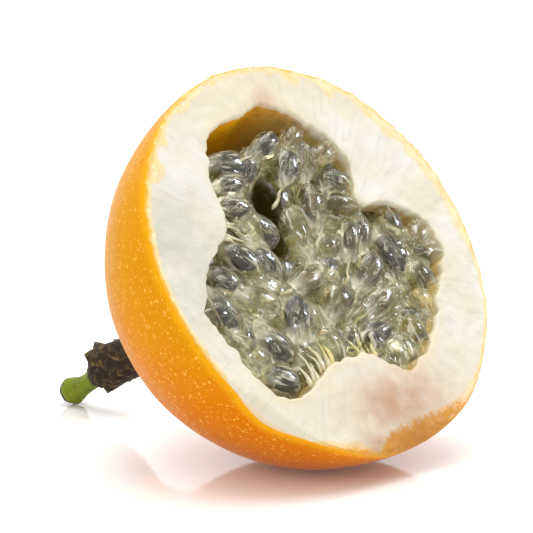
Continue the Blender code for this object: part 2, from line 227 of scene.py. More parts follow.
# The sacs' level and taper, and the draws for those that fill in between the leading ones. Turns and dips
# are in radians, lifts in mm and sizes in shares
SAC_TOP = -0.5 * MM
SAC_FLATNESS = 0.86
SAC_TAPER = 0.28
FILL_PITCH = 5.3 * MM
FILL_ROWS = 6
FILL_STAGGER = 0.87
FILL_SHAKE = 0.9 * MM
FILL_LENGTH = 9.2 * MM
FILL_WIDTH = 5.2 * MM
FILL_LEVEL = -4.2 * MM
FILL_NEAREST = 4.5 * MM
WALL_ROOM = 2.6 * MM
CLEFT_ROOM = 1.2 * MM
FILL_TURN = (-0.4, 0.4)
FILL_DIP = (-0.35, 0.2)
FILL_LONG = (0.87, 1.14)
FILL_WIDE = (0.85, 1.1)
FILL_LIFT = (-0.75, 0.75)
FILL_SEEDS = 0.14
SEED_SHOWS = (0.5, 1)

# Sacs that only the visual model has, lower down between the others
DEEP_PITCH = 4.7 * MM
DEEP_ROWS = 7
DEEP_LEVEL = -5.0 * MM
DEEP_LENGTH = 8.0 * MM
DEEP_WIDTH = 4.8 * MM
DEEP_TURN = (-0.7, 0.7)
DEEP_DIP = (-0.5, 0.5)
DEEP_SIZE = (0.85, 1.15)
DEEP_LIFT = (-0.8, 0.8)
DEEP_SEEDS = 0.05
END_OF_SAC = 0.42

# Sacs on the wall: how far apart they hang, how clear of the leading sacs on the left and on the right,
# and the bare recess at the top, above and left of these two
WALL_PITCH = 3.7 * MM
WALL_PITCH_SHAKE = 0.2
WALL_CLEAR = 3.3 * MM
WALL_CLEAR_RIGHT = 1.7 * MM
WALL_SAC_INSET = 1.3 * MM
WALL_SAC_LEVEL = -2.0 * MM
WALL_SAC_LENGTH = 9.0 * MM
WALL_SAC_WIDTH = 4.2 * MM
WALL_SAC_TURN = (-0.6, 0.6)
WALL_SAC_DIP = (0.0, 0.24)
WALL_SAC_SIZE = (0.85, 1.1)
WALL_SAC_SHAKE = (-0.8, 0.6)
WALL_SAC_LIFT = 0.4 * MM
WALL_SAC_LIFT_SPAN = (0, 8 * MM)
WALL_SEEDS = 0.05
WALL_SEED_SHOWS = (0.4, 0.9)
RECESS_FROM = 20 * MM
RECESS_TO = 6 * MM
EDGE_STEPS = 720

# Form of one sac and one seed, as shares of their own sizes where it has no unit
SAC_SIDES = 26
SAC_RINGS = 18
SAC_RIDGES = (4, 5, 6)
SAC_PUCKER = 0.05
SAC_PUCKER_SPAN = (0.9, -0.6)
SAC_POINT = 0.22
SAC_POINT_SPAN = (-0.1, -1)
SAC_BEND = 0.5 * MM
SAC_VOXEL = 0.36 * MM
SAC_SMOOTHING = 2
SAC_NEIGHBOURS = 6
SAC_NOISE_STEP = 3.7
TAIL_SPAN = (-0.15, -0.95)
GROOVE_SPAN = (1.2, 1.0)
STREAK_LONG = 4.5 * MM
STREAK_WIDE = 0.9 * MM
SAC_DENT = 0.35 * MM
SAC_DENT_GRAIN = 3.2 * MM
SEED_SIDES = 20
SEED_RINGS = 14
SEED_PITS = 0.09 * MM
SEED_PIT_GRAIN = 0.7 * MM
SEED_NOISE_STEP = 5.3
SEED_ROLL = 0.6
SEED_FULL_SAC = 9.5 * MM
SEED_LEAST = 0.72
SEED_GAIN = 0.3
SEED_ROOM = 0.7
SEED_AHEAD = 0.06
SEED_LIFT = 0.12
SEED_TAPER = 0.18
SEED_TILT = 1.6
YOUNG_SPAN = (0.75, 0.3)

# Strands that hold the sacs: steps along and round, how far they run from a sac's narrow end, and the
# draws for how they drop, sag in mm, and differ in width
STRAND_STEPS = 9
STRAND_SIDES = 7
STRAND_REACH = (3.0 * MM, 6.5 * MM)
STRAND_DROP = 2.2 * MM
STRAND_DROPS = (0.4, 1.2)
STRAND_WAVE = 1.1 * MM
STRAND_NOISE = 900
STRAND_NOISE_STEP = 2.2
STRAND_TAPER = 0.65
STRAND_TIP = 0.3
STRAND_FLATNESS = 0.6
STRAND_START = 0.4
STRAND_LIFT = 0.1
STRAND_SAG = ((-0.8, 0.8), (-0.8, 0.8), (-0.2, 0.5))
STRAND_WIDTHS = (0.7, 1.3)

# Fans of bare strands on the walls: start across and up, first and last heading in degrees, count and
# length in mm. Their roots stand a step apart, at one level, and their strands are straighter and thinner
# at the tip
STRAND_FANS = (
    (-11.0, -19.4, 82, 100, 3, 7.0),
    (-7.2, -17.6, 80, 104, 4, 6.5),
    (2.6, -17.1, 78, 104, 4, 4.5),
    (-17.0, 12.6, -34, 2, 3, 5.0),
    (-17.6, 9.0, -34, -8, 4, 5.5),
)
FAN_STEP = 0.9 * MM
FAN_LEVEL = -1.7 * MM
FAN_SPREAD = (-6, 6)
FAN_REACH = (0.6, 1.15)
FAN_SAG = ((-0.4, 0.4), (-0.4, 0.4), (0.1, 0.7))
FAN_WIDTHS = (0.9, 2.0)
FAN_TAPER = 0.85
FAN_WAVE = 0.35 * MM
FAN_TIP_DROP = -0.15
FAN_ROOT = Vector((0.1, 0.1, 0.01))

# The calyx: a core as reach and radius, and tiers of pointed scales round it as reach of their root, radius
# there, length and flare, all in mm. Draws are in shares, and turns in radians
CALYX_CORE = (
    (46.8, 2.4), (47.2, 3.0), (49.6, 3.2), (52.0, 3.0), (54.4, 3.2), (56.6, 3.1), (58.2, 2.8), (58.7, 1.9),
)
CALYX_TIERS = ((46.4, 3.2, 4.8, 1.7), (49.2, 3.3, 5.0, 1.8), (52.2, 3.3, 5.0, 1.8))
CALYX_SCALES = 6
SCALE_WIDTH = math.radians(92)
SCALE_STEPS = 10
SCALE_THICK = 0.28 * MM
CALYX_SIDES = 48
CALYX_RIDGES = 9
CALYX_RIDGE = 0.05
CALYX_CRUMPLE = 0.06
CALYX_GRAIN = 1.5 * MM
SCALE_TURN = (-0.2, 0.2)
SCALE_LONG = (0.78, 1.05)
SCALE_WIDE = (0.85, 1.1)
SCALE_CURL = (0.5, 1.3)
SCALE_CURL_POWER = 2.2
SCALE_CRUMPLE = 0.22
SCALE_GRAIN = (2.2, 3)
SCALE_NOISE_STEPS = (9.1, 3.3)
SCALE_LAP = 0.12
SCALE_CUP = 0.25
SCALE_FLARE = (0.65, 0.5)
SCALE_STIFF_ROOT = 0.3
SCALE_SIDE = (0.7, 1)
SCALE_POINT = (0.75, 1)

# The green stalk, as in the part's source: reach along the axis, lift off it and radius, in mm
STALK = (
    (59.1, -0.3, 1.9), (60.4, -0.55, 1.65), (62.4, -0.75, 1.6), (64.4, -0.8, 1.9), (66.0, -0.75, 2.4),
    (67.4, -0.65, 2.5),
)
STALK_SIDES = 40
STALK_RINGS = 36
STALK_RIDGES = 7
STALK_RIDGE = 0.035
STALK_JOINT = 1.2
STALK_END_ROUND = 1.5
STALK_END_RINGS = 6
STALK_CUT_RINGS = (0.8, 0.62, 0.4, 0.2)

# The photograph's camera: azimuth and elevation it looks from, its distance from the middle of the cut,
# and where its middle lies to the right of and above that point
VIEW_AZIMUTH = math.radians(-46.1)
VIEW_ELEVATION = math.radians(10.9)
VIEW_DISTANCE = 0.6
AIM_RIGHT = -9.3 * MM
AIM_UP = -0.6 * MM
LENS = 255
SENSOR = 36

# The floor: its size, the even glow it gives everywhere and a painted glow that only the eye sees. Round
# the places where the body and the stalk rest, that painted glow comes in from the first distance to the
# second
FLOOR_SIZE = 6.0
FLOOR_GLOW = 0.06
FLOOR_PAINTED_GLOW = 0.45
FEET = ((Vector((0, -21, 0)) * MM, 9 * MM, 46 * MM), (Vector((0, 36.6, 0)) * MM, 3 * MM, 22 * MM))

# The white room: as the fruit is lit by it, and as the eye and the gloss see it; and the soft light from
# above
WORLD_STRENGTH = 0.62
WORLD_SEEN = 1.15
SUN_STRENGTH = 1.42
SUN_SPREAD = math.radians(50)
SUN_FROM = Vector((0.05, 0.05, 1.0))

# Soft boxes: name, place in metres, width and height, power in watts and tint
LAMPS = (
    ("box_above", (0.12, 0.10, 0.60), (0.30, 0.22), 0.8, "#ffffff"),
    ("box_left", (-0.52, -0.02, 0.30), (0.08, 0.20), 0.5, "#fffaf4"),
    ("box_right", (0.42, -0.30, 0.36), (0.10, 0.15), 2.1, "#dce9ff"),
    ("box_front", (-0.20, -0.55, 0.42), (0.08, 0.08), 0.8, "#e8f0ff"),
)

# The soft boxes that only show in the gloss of wet things
GLOSS_LAMPS = ("box_right", "box_front")

# Shades inside a finish, beside those that FruitColours holds
WAX_BLOOM = "#fff0e6"
PITH_FIBRE = "#cfcbb6"
# Painted shade on the left of the pith
PITH_LEFT_SHADE = "#d3d0bd"
ROLLED_INNER = "#c48e48"
ROLLED_PATCH = "#b07318"
# WALL_LIP: tan below the lip, partly own colour and partly painted shade. WALL_SHADED: painted shade
WALL_LIP = "#d8bf88"
WALL_RIGHT = "#d8aa58"
WALL_SHADED = "#8a6a1c"
BED_GREEN = "#86805c"
BED_TAN = "#a88b58"
# Painted shade between the deeper sacs
BED_GAP_SHADE = "#4c4522"
SAC_SKIN = "#e2ddc2"
SEED_NET = "#3b3b30"
SEED_YOUNG = "#7a6338"
STRAND_SHADE = "#c9c3a4"
CALYX_DARK = "#22160a"
STALK_DEEP = "#55640c"
# Painted highlights on the stalk
STALK_HIGHLIGHT = "#a5ab3e"
STALK_CUT = "#8d8450"

# Settings of two kinds of node that recur: an even turn between a range's ends, and a mix of colours
EVEN = {"interpolation_type": "SMOOTHSTEP"}
TINTED = {"data_type": "RGBA"}


def linear(value):
    """One sRGB channel, 0 to 1, as linear light."""
    return value / 12.92 if value <= 0.04045 else ((value + 0.055) / 1.055) ** 2.4


def colour(hex_code):
    """A linear colour with alpha from an sRGB hex code."""
    channels = [int(hex_code[i : i + 2], 16) / 255 for i in (1, 3, 5)]
    return (*[linear(channel) for channel in channels], 1.0)


def colour_property(name, description, hex_code):
    """A colour that the panel shows, from an sRGB hex code."""
    return FloatVectorProperty(
        name=name, description=description, default=colour(hex_code), size=4, min=0, max=1, subtype="COLOR"
    )


def length_property(name, description, metres):
    """A length that the panel shows."""
    return FloatProperty(
        name=name,
        description=description,
        default=metres,
        min=0,
        unit="LENGTH",
        subtype="DISTANCE",
        precision=5,
    )


class FruitSizes(bpy.types.PropertyGroup):
    """Sizes of what dresses the solids."""

    freckle: length_property("Freckle spacing", "Distance between the large freckles on the rind", 0.95 * MM)
    speck: length_property("Speck spacing", "Distance between the small specks on the rind", 0.62 * MM)
    rind: length_property("Rind thickness", "Thickness of the coloured rind where it is cut", 0.9 * MM)
    rind_rolled: length_property("Rolled rind", "Width of the rind's band where the cut rolls over", 4.6 * MM)
    seed_length: length_property("Seed length", "Length of a seed", 6.4 * MM)
    seed_width: length_property("Seed width", "Width of a seed", 3.9 * MM)
    seed_thick: length_property("Seed thickness", "Thickness of a seed", 2.0 * MM)
    strand: length_property("Strand width", "Width of a strand at its thick end", 0.75 * MM)


class FruitColours(bpy.types.PropertyGroup):
    """Colours of what dresses the solids."""

    skin: colour_property("Skin", "The rind's main orange", "#e59a02")
    # Redder, darker orange towards the bottom of the rind: painted shade of the underside
    skin_underside_shade: colour_property("Deep skin", "The rind's redder underside", "#e37f00")
    skin_rim: colour_property("Skin at the rim", "Where the rind is thin beside the cut", "#fbb414")
    freckle: colour_property("Freckles", "Pale freckles and specks", "#fbbd4c")
    pith: colour_property("Pith", "The spongy pith where it is cut", "#f0ebdf")
    pith_warm: colour_property("Warm pith", "Creamier patches of the pith", "#ead9b4")
    # Tan of the patch of painted shade at the low right, and of the real stain and torn place
    pith_brown_and_shade: colour_property("Browned pith", "Where the pith has turned at the low right", "#cc9d76")
    rind_cut: colour_property("Cut rind", "The rind's own cut edge", "#f5d388")
    rind_torn: colour_property("Torn rind", "The rind's band where the cut rolls over", "#cc8610")
    # Orange of the recess: painted shade and painted light shining through the rind
    wall: colour_property("Hollow wall", "The bare wall of the hollow", "#ffb00a")
    jelly: colour_property("Jelly", "The tint of the juice sacs", "#ddd7b0")
    bed: colour_property("Pulp bed", "The mass of deeper sacs", "#7e754a")
    bed_deep: colour_property("Deep pulp", "The bare, shaded places in the pulp", "#4f451c")
    seed: colour_property("Seed", "The seeds' slate grey", "#1d1f1b")
    strand: colour_property("Strands", "Membranes and strands", "#e2d7b2")
    calyx: colour_property("Calyx", "The dried scales", "#2a1a0c")
    # Paler brown of the worn edges, and of patches of painted highlight
    calyx_worn_and_highlight: colour_property("Pale calyx", "The scales' worn edges", "#7d6740")
    stalk: colour_property("Stalk", "The green stem", "#76860a")
    floor: colour_property("Floor", "The pale floor", "#f5f5f3")


def face_point(across, up, height=0.0):
    """A point given in the face frame, in the row frame."""
    return FACE @ Vector((across, up, height))


def bezier(points, t):
    """A point of the cubic curve with these four handles."""
    a, b, c, d = (Vector(p) for p in points)
    s = 1 - t
    return a * s**3 + b * 3 * s * s * t + c * 3 * s * t * t + d * t**3


def smooth(low, high, value):
    """0 up to low, 1 from high, and an even turn between them."""
    t = min(1, max(0, (value - low) / (high - low)))
    return t * t * (3 - 2 * t)


def hollow_reach(angle):
    """The hollow's edge at this angle, on a smooth closed curve through HOLLOW_EDGE."""
    degrees = math.degrees(angle) % 360
    count = len(HOLLOW_EDGE)
    for i in range(count):
        here, after = HOLLOW_EDGE[i], HOLLOW_EDGE[(i + 1) % count]
        span = (after[0] - here[0]) % 360
        along = (degrees - here[0]) % 360
        if along < span:
            break
    before, beyond = HOLLOW_EDGE[i - 1], HOLLOW_EDGE[(i + 2) % count]
    slope_here = (after[1] - before[1]) / ((after[0] - before[0]) % 360)
    slope_after = (beyond[1] - here[1]) / ((beyond[0] - here[0]) % 360)
    t = along / span
    reach = (2 * t**3 - 3 * t**2 + 1) * here[1] + (3 * t**2 - 2 * t**3) * after[1]
    reach += span * ((t**3 - 2 * t**2 + t) * slope_here + (t**3 - t**2) * slope_after)
    return reach * MM


HOLLOW_MEAN = sum(reach for _, reach in HOLLOW_EDGE) / len(HOLLOW_EDGE) * MM


def hollow_wall(angle, latitude, shrink=0.0):
    """A point of the hollow's wall in the face frame: latitude 0 is its edge and 90 degrees its floor."""
    edge = hollow_reach(angle) - shrink
    edge += (HOLLOW_MEAN - shrink - edge) * math.sin(latitude) * HOLLOW_ROUND
    reach = edge * math.cos(latitude)
    height = -(HOLLOW_DEPTH - shrink) * math.sin(latitude)
    return Vector((math.cos(angle) * reach, math.sin(angle) * reach, height))


def cut_level(across, up):
    """Height of the cut in the face frame."""
    past = max(0, -up - ROLL_START) / (RADIUS_UP - ROLL_START)
    roll = ROLL_DEPTH * past**2 * math.exp(-(((across - ROLL_ACROSS) / ROLL_WIDTH) ** 2))
    return CUT_WAVE * noise.noise(Vector((across, up, 0)) / CUT_GRAIN) - roll


def skin_point(radius, turn, reach):
    """A point of the turned skin in the axis frame, dented a little as grown skin is."""
    place = Vector((radius * math.cos(turn), radius * math.sin(turn) * RADIUS_UP / RADIUS_ACROSS, reach))
    dent = SKIN_DENT * noise.noise(place / SKIN_DENT_GRAIN) * smooth(NECK_RADIUS, 3 * NECK_RADIUS, radius)
    return place * (1 + dent / RADIUS_ACROSS)


def round_point(turn, lean):
    """A point of the round part of the skin, lean being the angle past its widest ring towards the neck."""
    return skin_point(RADIUS_ACROSS * math.cos(lean), turn, -BODY_LENGTH * math.sin(lean))


def pared(edge_angle):
    """Width of the pith bared beside the cut at this angle of the face."""
    offset = (edge_angle - PARED_AT + math.pi) % math.tau - math.pi
    return PARED * math.exp(-((offset / PARED_SPREAD) ** 2))


def crumble(flat):
    """How far the torn edge of the hollow stands out of its smooth line at this place in the face frame."""
    place = Vector((*flat, 0)) / LIP_GRAIN
    return LIP_CRUMBLE * (noise.noise(place) + 0.5 * noise.noise(place * LIP_FINER))


def neck_handles():
    """Handles of the neck's outline, as radius and reach, from the body to the calyx."""
    start = Vector((RADIUS_ACROSS * math.cos(NECK_LEAVES), -BODY_LENGTH * math.sin(NECK_LEAVES)))
    leave = Vector((-RADIUS_ACROSS * math.sin(NECK_LEAVES), -BODY_LENGTH * math.cos(NECK_LEAVES)))
    end = Vector((NECK_RADIUS, -NECK_END))
    return start, start + leave.normalized() * NECK_PULL, end + Vector((0, NECK_PULL)), end


def cut_lean(turn):
    """The lean at which the skin meets the cut, found by halving."""
    low, high = LEAN_LEAST, NECK_LEAVES
    for _ in range(SEARCH_STEPS):
        lean = (low + high) / 2
        place = AXIS_TO_FACE @ round_point(turn, lean)
        if place.z > cut_level(place.x, place.y):
            low = lean
        else:
            high = lean
    return (low + high) / 2


def start_ring(bm, sides, turn_layer):
    """A circle whose vertices remember their turn, for rings to grow from."""
    made = bmesh.ops.create_circle(bm, segments=sides, radius=1)
    for vert in made["verts"]:
        vert[turn_layer] = math.atan2(vert.co.y, vert.co.x)
    return bm.edges[:]


def grow_ring(bm, edges, place, material_index=0):
    """Extrudes a ring of edges once. place sets each new vertex, which keeps its turn."""
    grown = bmesh.ops.extrude_edge_only(bm, edges=edges)["geom"]
    verts = {item for item in grown if isinstance(item, bmesh.types.BMVert)}
    for item in grown:
        if isinstance(item, bmesh.types.BMFace):
            item.material_index = material_index
            item.smooth = True
    for vert in verts:
        place(vert)
    edges = [item for item in grown if isinstance(item, bmesh.types.BMEdge)]
    return [edge for edge in edges if verts.issuperset(edge.verts)]


def close_ring(bm, edges, material_index=0):
    """Fills a ring with a fan of triangles round its middle."""
    face = bmesh.ops.contextual_create(bm, geom=edges)["faces"][0]
    face.material_index = material_index
    middle = bmesh.ops.poke(bm, faces=[face])
    for piece in middle["faces"]:
        piece.smooth = True


def finish_piece(name, bm, materials, replaced=()):
    """Makes bm an object of the fruit, with its place in its mesh."""
    bmesh.ops.recalc_face_normals(bm, faces=bm.faces)
    mesh = bpy.data.meshes.new(name)
    bm.to_mesh(mesh)
    bm.free()
    for made in materials:
        mesh.materials.append(made)
    obj = bpy.data.objects.new(name, mesh)
    bpy.context.scene.collection.objects.link(obj)
    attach(obj, BODY)
    if replaced:
        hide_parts(*replaced)
    return obj


def new_material(name):
    """A material with a Principled shader, the function that adds a node to it, and that shader."""
    made = bpy.data.materials.new(name)
    made.use_nodes = True
    return made, functools.partial(node, made.node_tree), made.node_tree.nodes["Principled BSDF"]


def fill(target, values):
    """Sets a node's sockets from numbers and colours, and links those that are given a socket."""
    for key, value in values.items():
        socket = target.inputs[key]
        if isinstance(value, bpy.types.NodeSocket):
            target.id_data.links.new(value, socket)
        else:
            socket.default_value = value


def node(tree, kind, values=(), output=0, **settings):
    """Adds a node with its settings, fills its sockets in order or by key, and gives one of its outputs."""
    made = tree.nodes.new("ShaderNode" + kind)
    for key, value in settings.items():
        setattr(made, key, value)
    fill(made, values if isinstance(values, dict) else dict(enumerate(values)))
    return made.outputs[output]


def layered(add, base, *layers):
    """A colour with others laid over it in turn, each given as its share and its colour."""
    for share, shade in layers:
        base = add("Mix", {0: share, 6: base, 7: shade}, 2, **TINTED)
    return base


def grained(place, real_size, detail=2.0, roughness=0.5):
    """Values of a noise whose grain on Object coordinates has this real size in metres."""
    return {"Vector": place, "Scale": 1 / real_size, "Detail": detail, "Roughness": roughness}


def patches(add, place, real_size, low, high, least=0.0, most=1.0, detail=2.0, roughness=0.5):
    """Uneven patches of this real size, as a share: least where their noise is low, most where it is high."""
    uneven = add("TexNoise", grained(place, real_size, detail, roughness))
    return add("MapRange", (uneven, low, high, least, most), **EVEN)


def stray(add, place, real_size, amount, detail=2.0, roughness=0.5):
    """How far an edge strays to either side of its smooth line, with a grain of this real size."""
    uneven = add("TexNoise", grained(place, real_size, detail, roughness))
    return add("Math", (add("Math", (uneven, 0.5), operation="SUBTRACT"), amount), operation="MULTIPLY")


def relief(add, place, real_size, depth, strength, detail=2.0, roughness=0.5, under=None):
    """Bumps whose grain and depth have these real sizes, on top of other ones if there are any."""
    values = {"Distance": depth, "Strength": strength}
    values["Height"] = add("TexNoise", grained(place, real_size, detail, roughness))
    if under is not None:
        values["Normal"] = under
    return add("Bump", values)


def spots(add, place, spacing, smallest, largest, missing):
    """Round spots of uneven size: sizes are shares of the spacing, missing is the share left out."""
    cells = add("TexVoronoi", {"Vector": place, "Scale": 1 / spacing}, "Color", feature="F1")
    draw = add("SeparateColor", (cells,))
    reach = add("MapRange", (draw, missing, 1.0, smallest, largest), **EVEN)
    there = add("Math", (draw, missing), operation="GREATER_THAN")
    inside = add("Math", (reach, cells.node.outputs["Distance"]), operation="SUBTRACT")
    return add("Math", (add("MapRange", (inside, -0.04, 0.06), **EVEN), there), operation="MULTIPLY")


def rind_material(sizes, colours):
    """Granadilla rind, grown: a waxy skin full of pale freckles, which are its breathing pores.

    The wax gives soft highlights and a pale bloom at the edge of the form.
    """
    made, add, shader = new_material("granadilla_rind")
    place = add("TexCoord", output="Object")
    height = add("SeparateXYZ", (place,), 2)
    # Towards the bottom the skin turns a redder, darker orange: painted shade of the underside
    uneven = add("Math", (add("TexNoise", grained(place, 9 * MM, 3)), 26 * MM), operation="MULTIPLY")
    low = add("Math", (height, uneven), operation="SUBTRACT")
    painted_underside_shade = add("MapRange", (low, -8 * MM, 26 * MM, 1.0, 0.0), **EVEN)
    freckles = spots(add, place, sizes.freckle, 0.15, 0.29, 0.08)
    specks = spots(add, place, sizes.speck, 0.12, 0.30, 0.10)
    pale = add("Math", (freckles, add("Math", (specks, 0.7), operation="MULTIPLY")), operation="MAXIMUM")
    from_cut = add("Attribute", output="Fac", attribute_name="from_cut")
    wander = stray(add, place, 3 * MM, 1.6)
    thin = add("Math", (from_cut, wander), operation="ADD")
    bared = add("Math", (from_cut, add("Math", (wander, 0.3), operation="MULTIPLY")), operation="ADD")
    skin = layered(
        add,
        colours.skin,
        (painted_underside_shade, colours.skin_underside_shade),
        (add("Math", (pale, 0.9), operation="MULTIPLY"), colours.freckle),
        (add("MapRange", (thin, 0.2, 2.6, 0.85, 0.0), **EVEN), colours.skin_rim),
        (add("MapRange", (bared, 0.12, -0.35), **EVEN), colours.pith_warm),
    )
    pores = relief(add, place, 0.8 * MM, 0.05 * MM, 0.35, 3)
    fill(shader, {
        "Base Color": skin,
        "Roughness": patches(add, place, 2.4 * MM, 0.3, 0.7, 0.34, 0.46),
        "Normal": add("Bump", {"Height": pale, "Distance": 0.04 * MM, "Strength": 0.4, "Normal": pores}),
        "Specular IOR Level": 0.03,
        "Subsurface Weight": 0.05,
        "Subsurface Radius": (1.0, 0.4, 0.08),
        "Subsurface Scale": 0.8 * MM,
        "Sheen Weight": 0.3,
        "Sheen Roughness": 0.25,
        "Sheen Tint": colour(WAX_BLOOM),
    })
    return made


def pith_material(colours):
    """Pith cut with a knife: white spongy flesh, matt and a little see-through, with faint radial fibres.

    The coloured rind is a thin band along its outer edge, and a broad torn one where the cut rolls over.
    """
    made, add, shader = new_material("granadilla_pith")
    place = add("TexCoord", output="Object")
    warm, sallow, browned, rind_share, rolled = (
        add("Attribute", output="Fac", attribute_name=name)
        for name in ("warm", "sallow", "browned", "rind_share", "rolled")
    )
    warm = add("Math", (patches(add, place, 7 * MM, 0.36, 0.7, 0, 0.6, 3), warm), operation="MAXIMUM")
    fibre_place = add("Attribute", output="Vector", attribute_name="fibre_place")
    fibres = add("TexNoise", {"Vector": fibre_place, "Scale": 1.0, "Detail": 3.0})
    # Greyer towards the left: painted shade
    sallow = add("Math", (sallow, patches(add, place, 5 * MM, 0.3, 0.65, 0.3, 1, 4)), operation="MULTIPLY")
    # Painted shade in a tan patch at the low right, with the real stain and torn place
    browned = add("Math", (browned, patches(add, place, 3 * MM, 0.3, 0.6, 0.6, 1, 4)), operation="MULTIPLY")
    pith = layered(
        add,
        colours.pith,
        (warm, colours.pith_warm),
        (add("MapRange", (fibres, 0.48, 0.72, 0.0, 0.3), **EVEN), colour(PITH_FIBRE)),
        (sallow, colour(PITH_LEFT_SHADE)),
        (browned, colours.pith_brown_and_shade),
    )
    share = add("Math", (rind_share, stray(add, place, 0.9 * MM, 1.1, 5, 0.6)), operation="ADD")
    inwards = add("Math", (rolled, 1.1), operation="MULTIPLY")
    from_skin = add("Math", (share, inwards), operation="SUBTRACT")
    patchy = patches(add, place, 1.7 * MM, 0.44, 0.68, 0, 0.5, 5, 0.65)
    worn = add("Math", (rolled, patchy), operation="MULTIPLY")
    band = layered(
        add,
        layered(add, colours.skin_rim, (rolled, colours.rind_torn)),
        (
            add("MapRange", (from_skin, 0.0, 0.45), **EVEN),
            layered(add, colours.rind_cut, (rolled, colour(ROLLED_INNER))),
        ),
        (worn, colour(ROLLED_PATCH)),
        (add("MapRange", (share, 0.7, 1.25), **EVEN), pith),
    )
    uneven = relief(add, place, 3 * MM, 0.5 * MM, 0.5)
    sponge = relief(add, place, 0.6 * MM, 0.14 * MM, 0.6, 3, 0.6, uneven)
    fill(shader, {
        "Base Color": band,
        "Roughness": add("MapRange", (share, 0.6, 1.2, 0.38, 0.62), **EVEN),
        "Normal": add("Bump", {"Height": fibres, "Distance": 0.12 * MM, "Strength": 0.5, "Normal": sponge}),
        "Subsurface Weight": 0.25,
        "Subsurface Radius": (1.0, 0.8, 0.55),
        "Subsurface Scale": 1.5 * MM,
    })
    return made


def wall_material(colours):
    """The hollow's bare wall: a thin wet skin on the pith, tan below the lip (own colour and painted shade),
    and orange-brown in the top recess (painted shade and painted light through the rind).
    """
    made, add, shader = new_material("granadilla_hollow_wall")
    place = add("TexCoord", output="Object")
    depth, recess = (add("Attribute", output="Fac", attribute_name=name) for name in ("wall_depth", "recess"))
    depth = add("Math", (depth, stray(add, place, 3.5 * MM, 2.2, 4)), operation="ADD")
    across = add("SeparateXYZ", (place,))
    # Darker towards the left of the recess: painted shade, with random darker patches
    shaded = add("MapRange", (across, -9 * MM, -16 * MM, 0, 0.7), **EVEN)
    patchy = patches(add, place, 2.2 * MM, 0.5, 0.72, 0, 0.35, 4)
    shaded = add("Math", (shaded, patchy), operation="MAXIMUM")
    browned = layered(
        add,
        colours.wall,
        (add("MapRange", (across, -3 * MM, 6 * MM), **EVEN), colour(WALL_RIGHT)),
        (shaded, colour(WALL_SHADED)),
    )
    # Tan below the lip, partly own colour and partly painted shade; orange-brown in the recess, painted shade
    # and painted light through the rind
    below = add("MapRange", (depth, -0.9, 0.2), **EVEN)
    wall = layered(
        add,
        colours.pith,
        (add("MapRange", (depth, 0.0, 1.6), **EVEN), colour(WALL_LIP)),
        (add("Math", (below, recess), operation="MULTIPLY"), browned),
    )
    fill(shader, {
        "Base Color": wall,
        "Roughness": 0.4,
        "Specular IOR Level": 0.25,
        "Normal": relief(add, place, 1.1 * MM, 0.2 * MM, 0.6, 4),
        "Subsurface Weight": 0.5,
        "Subsurface Radius": (1.0, 0.7, 0.3),
        "Subsurface Scale": 2.5 * MM,
    })
    return made


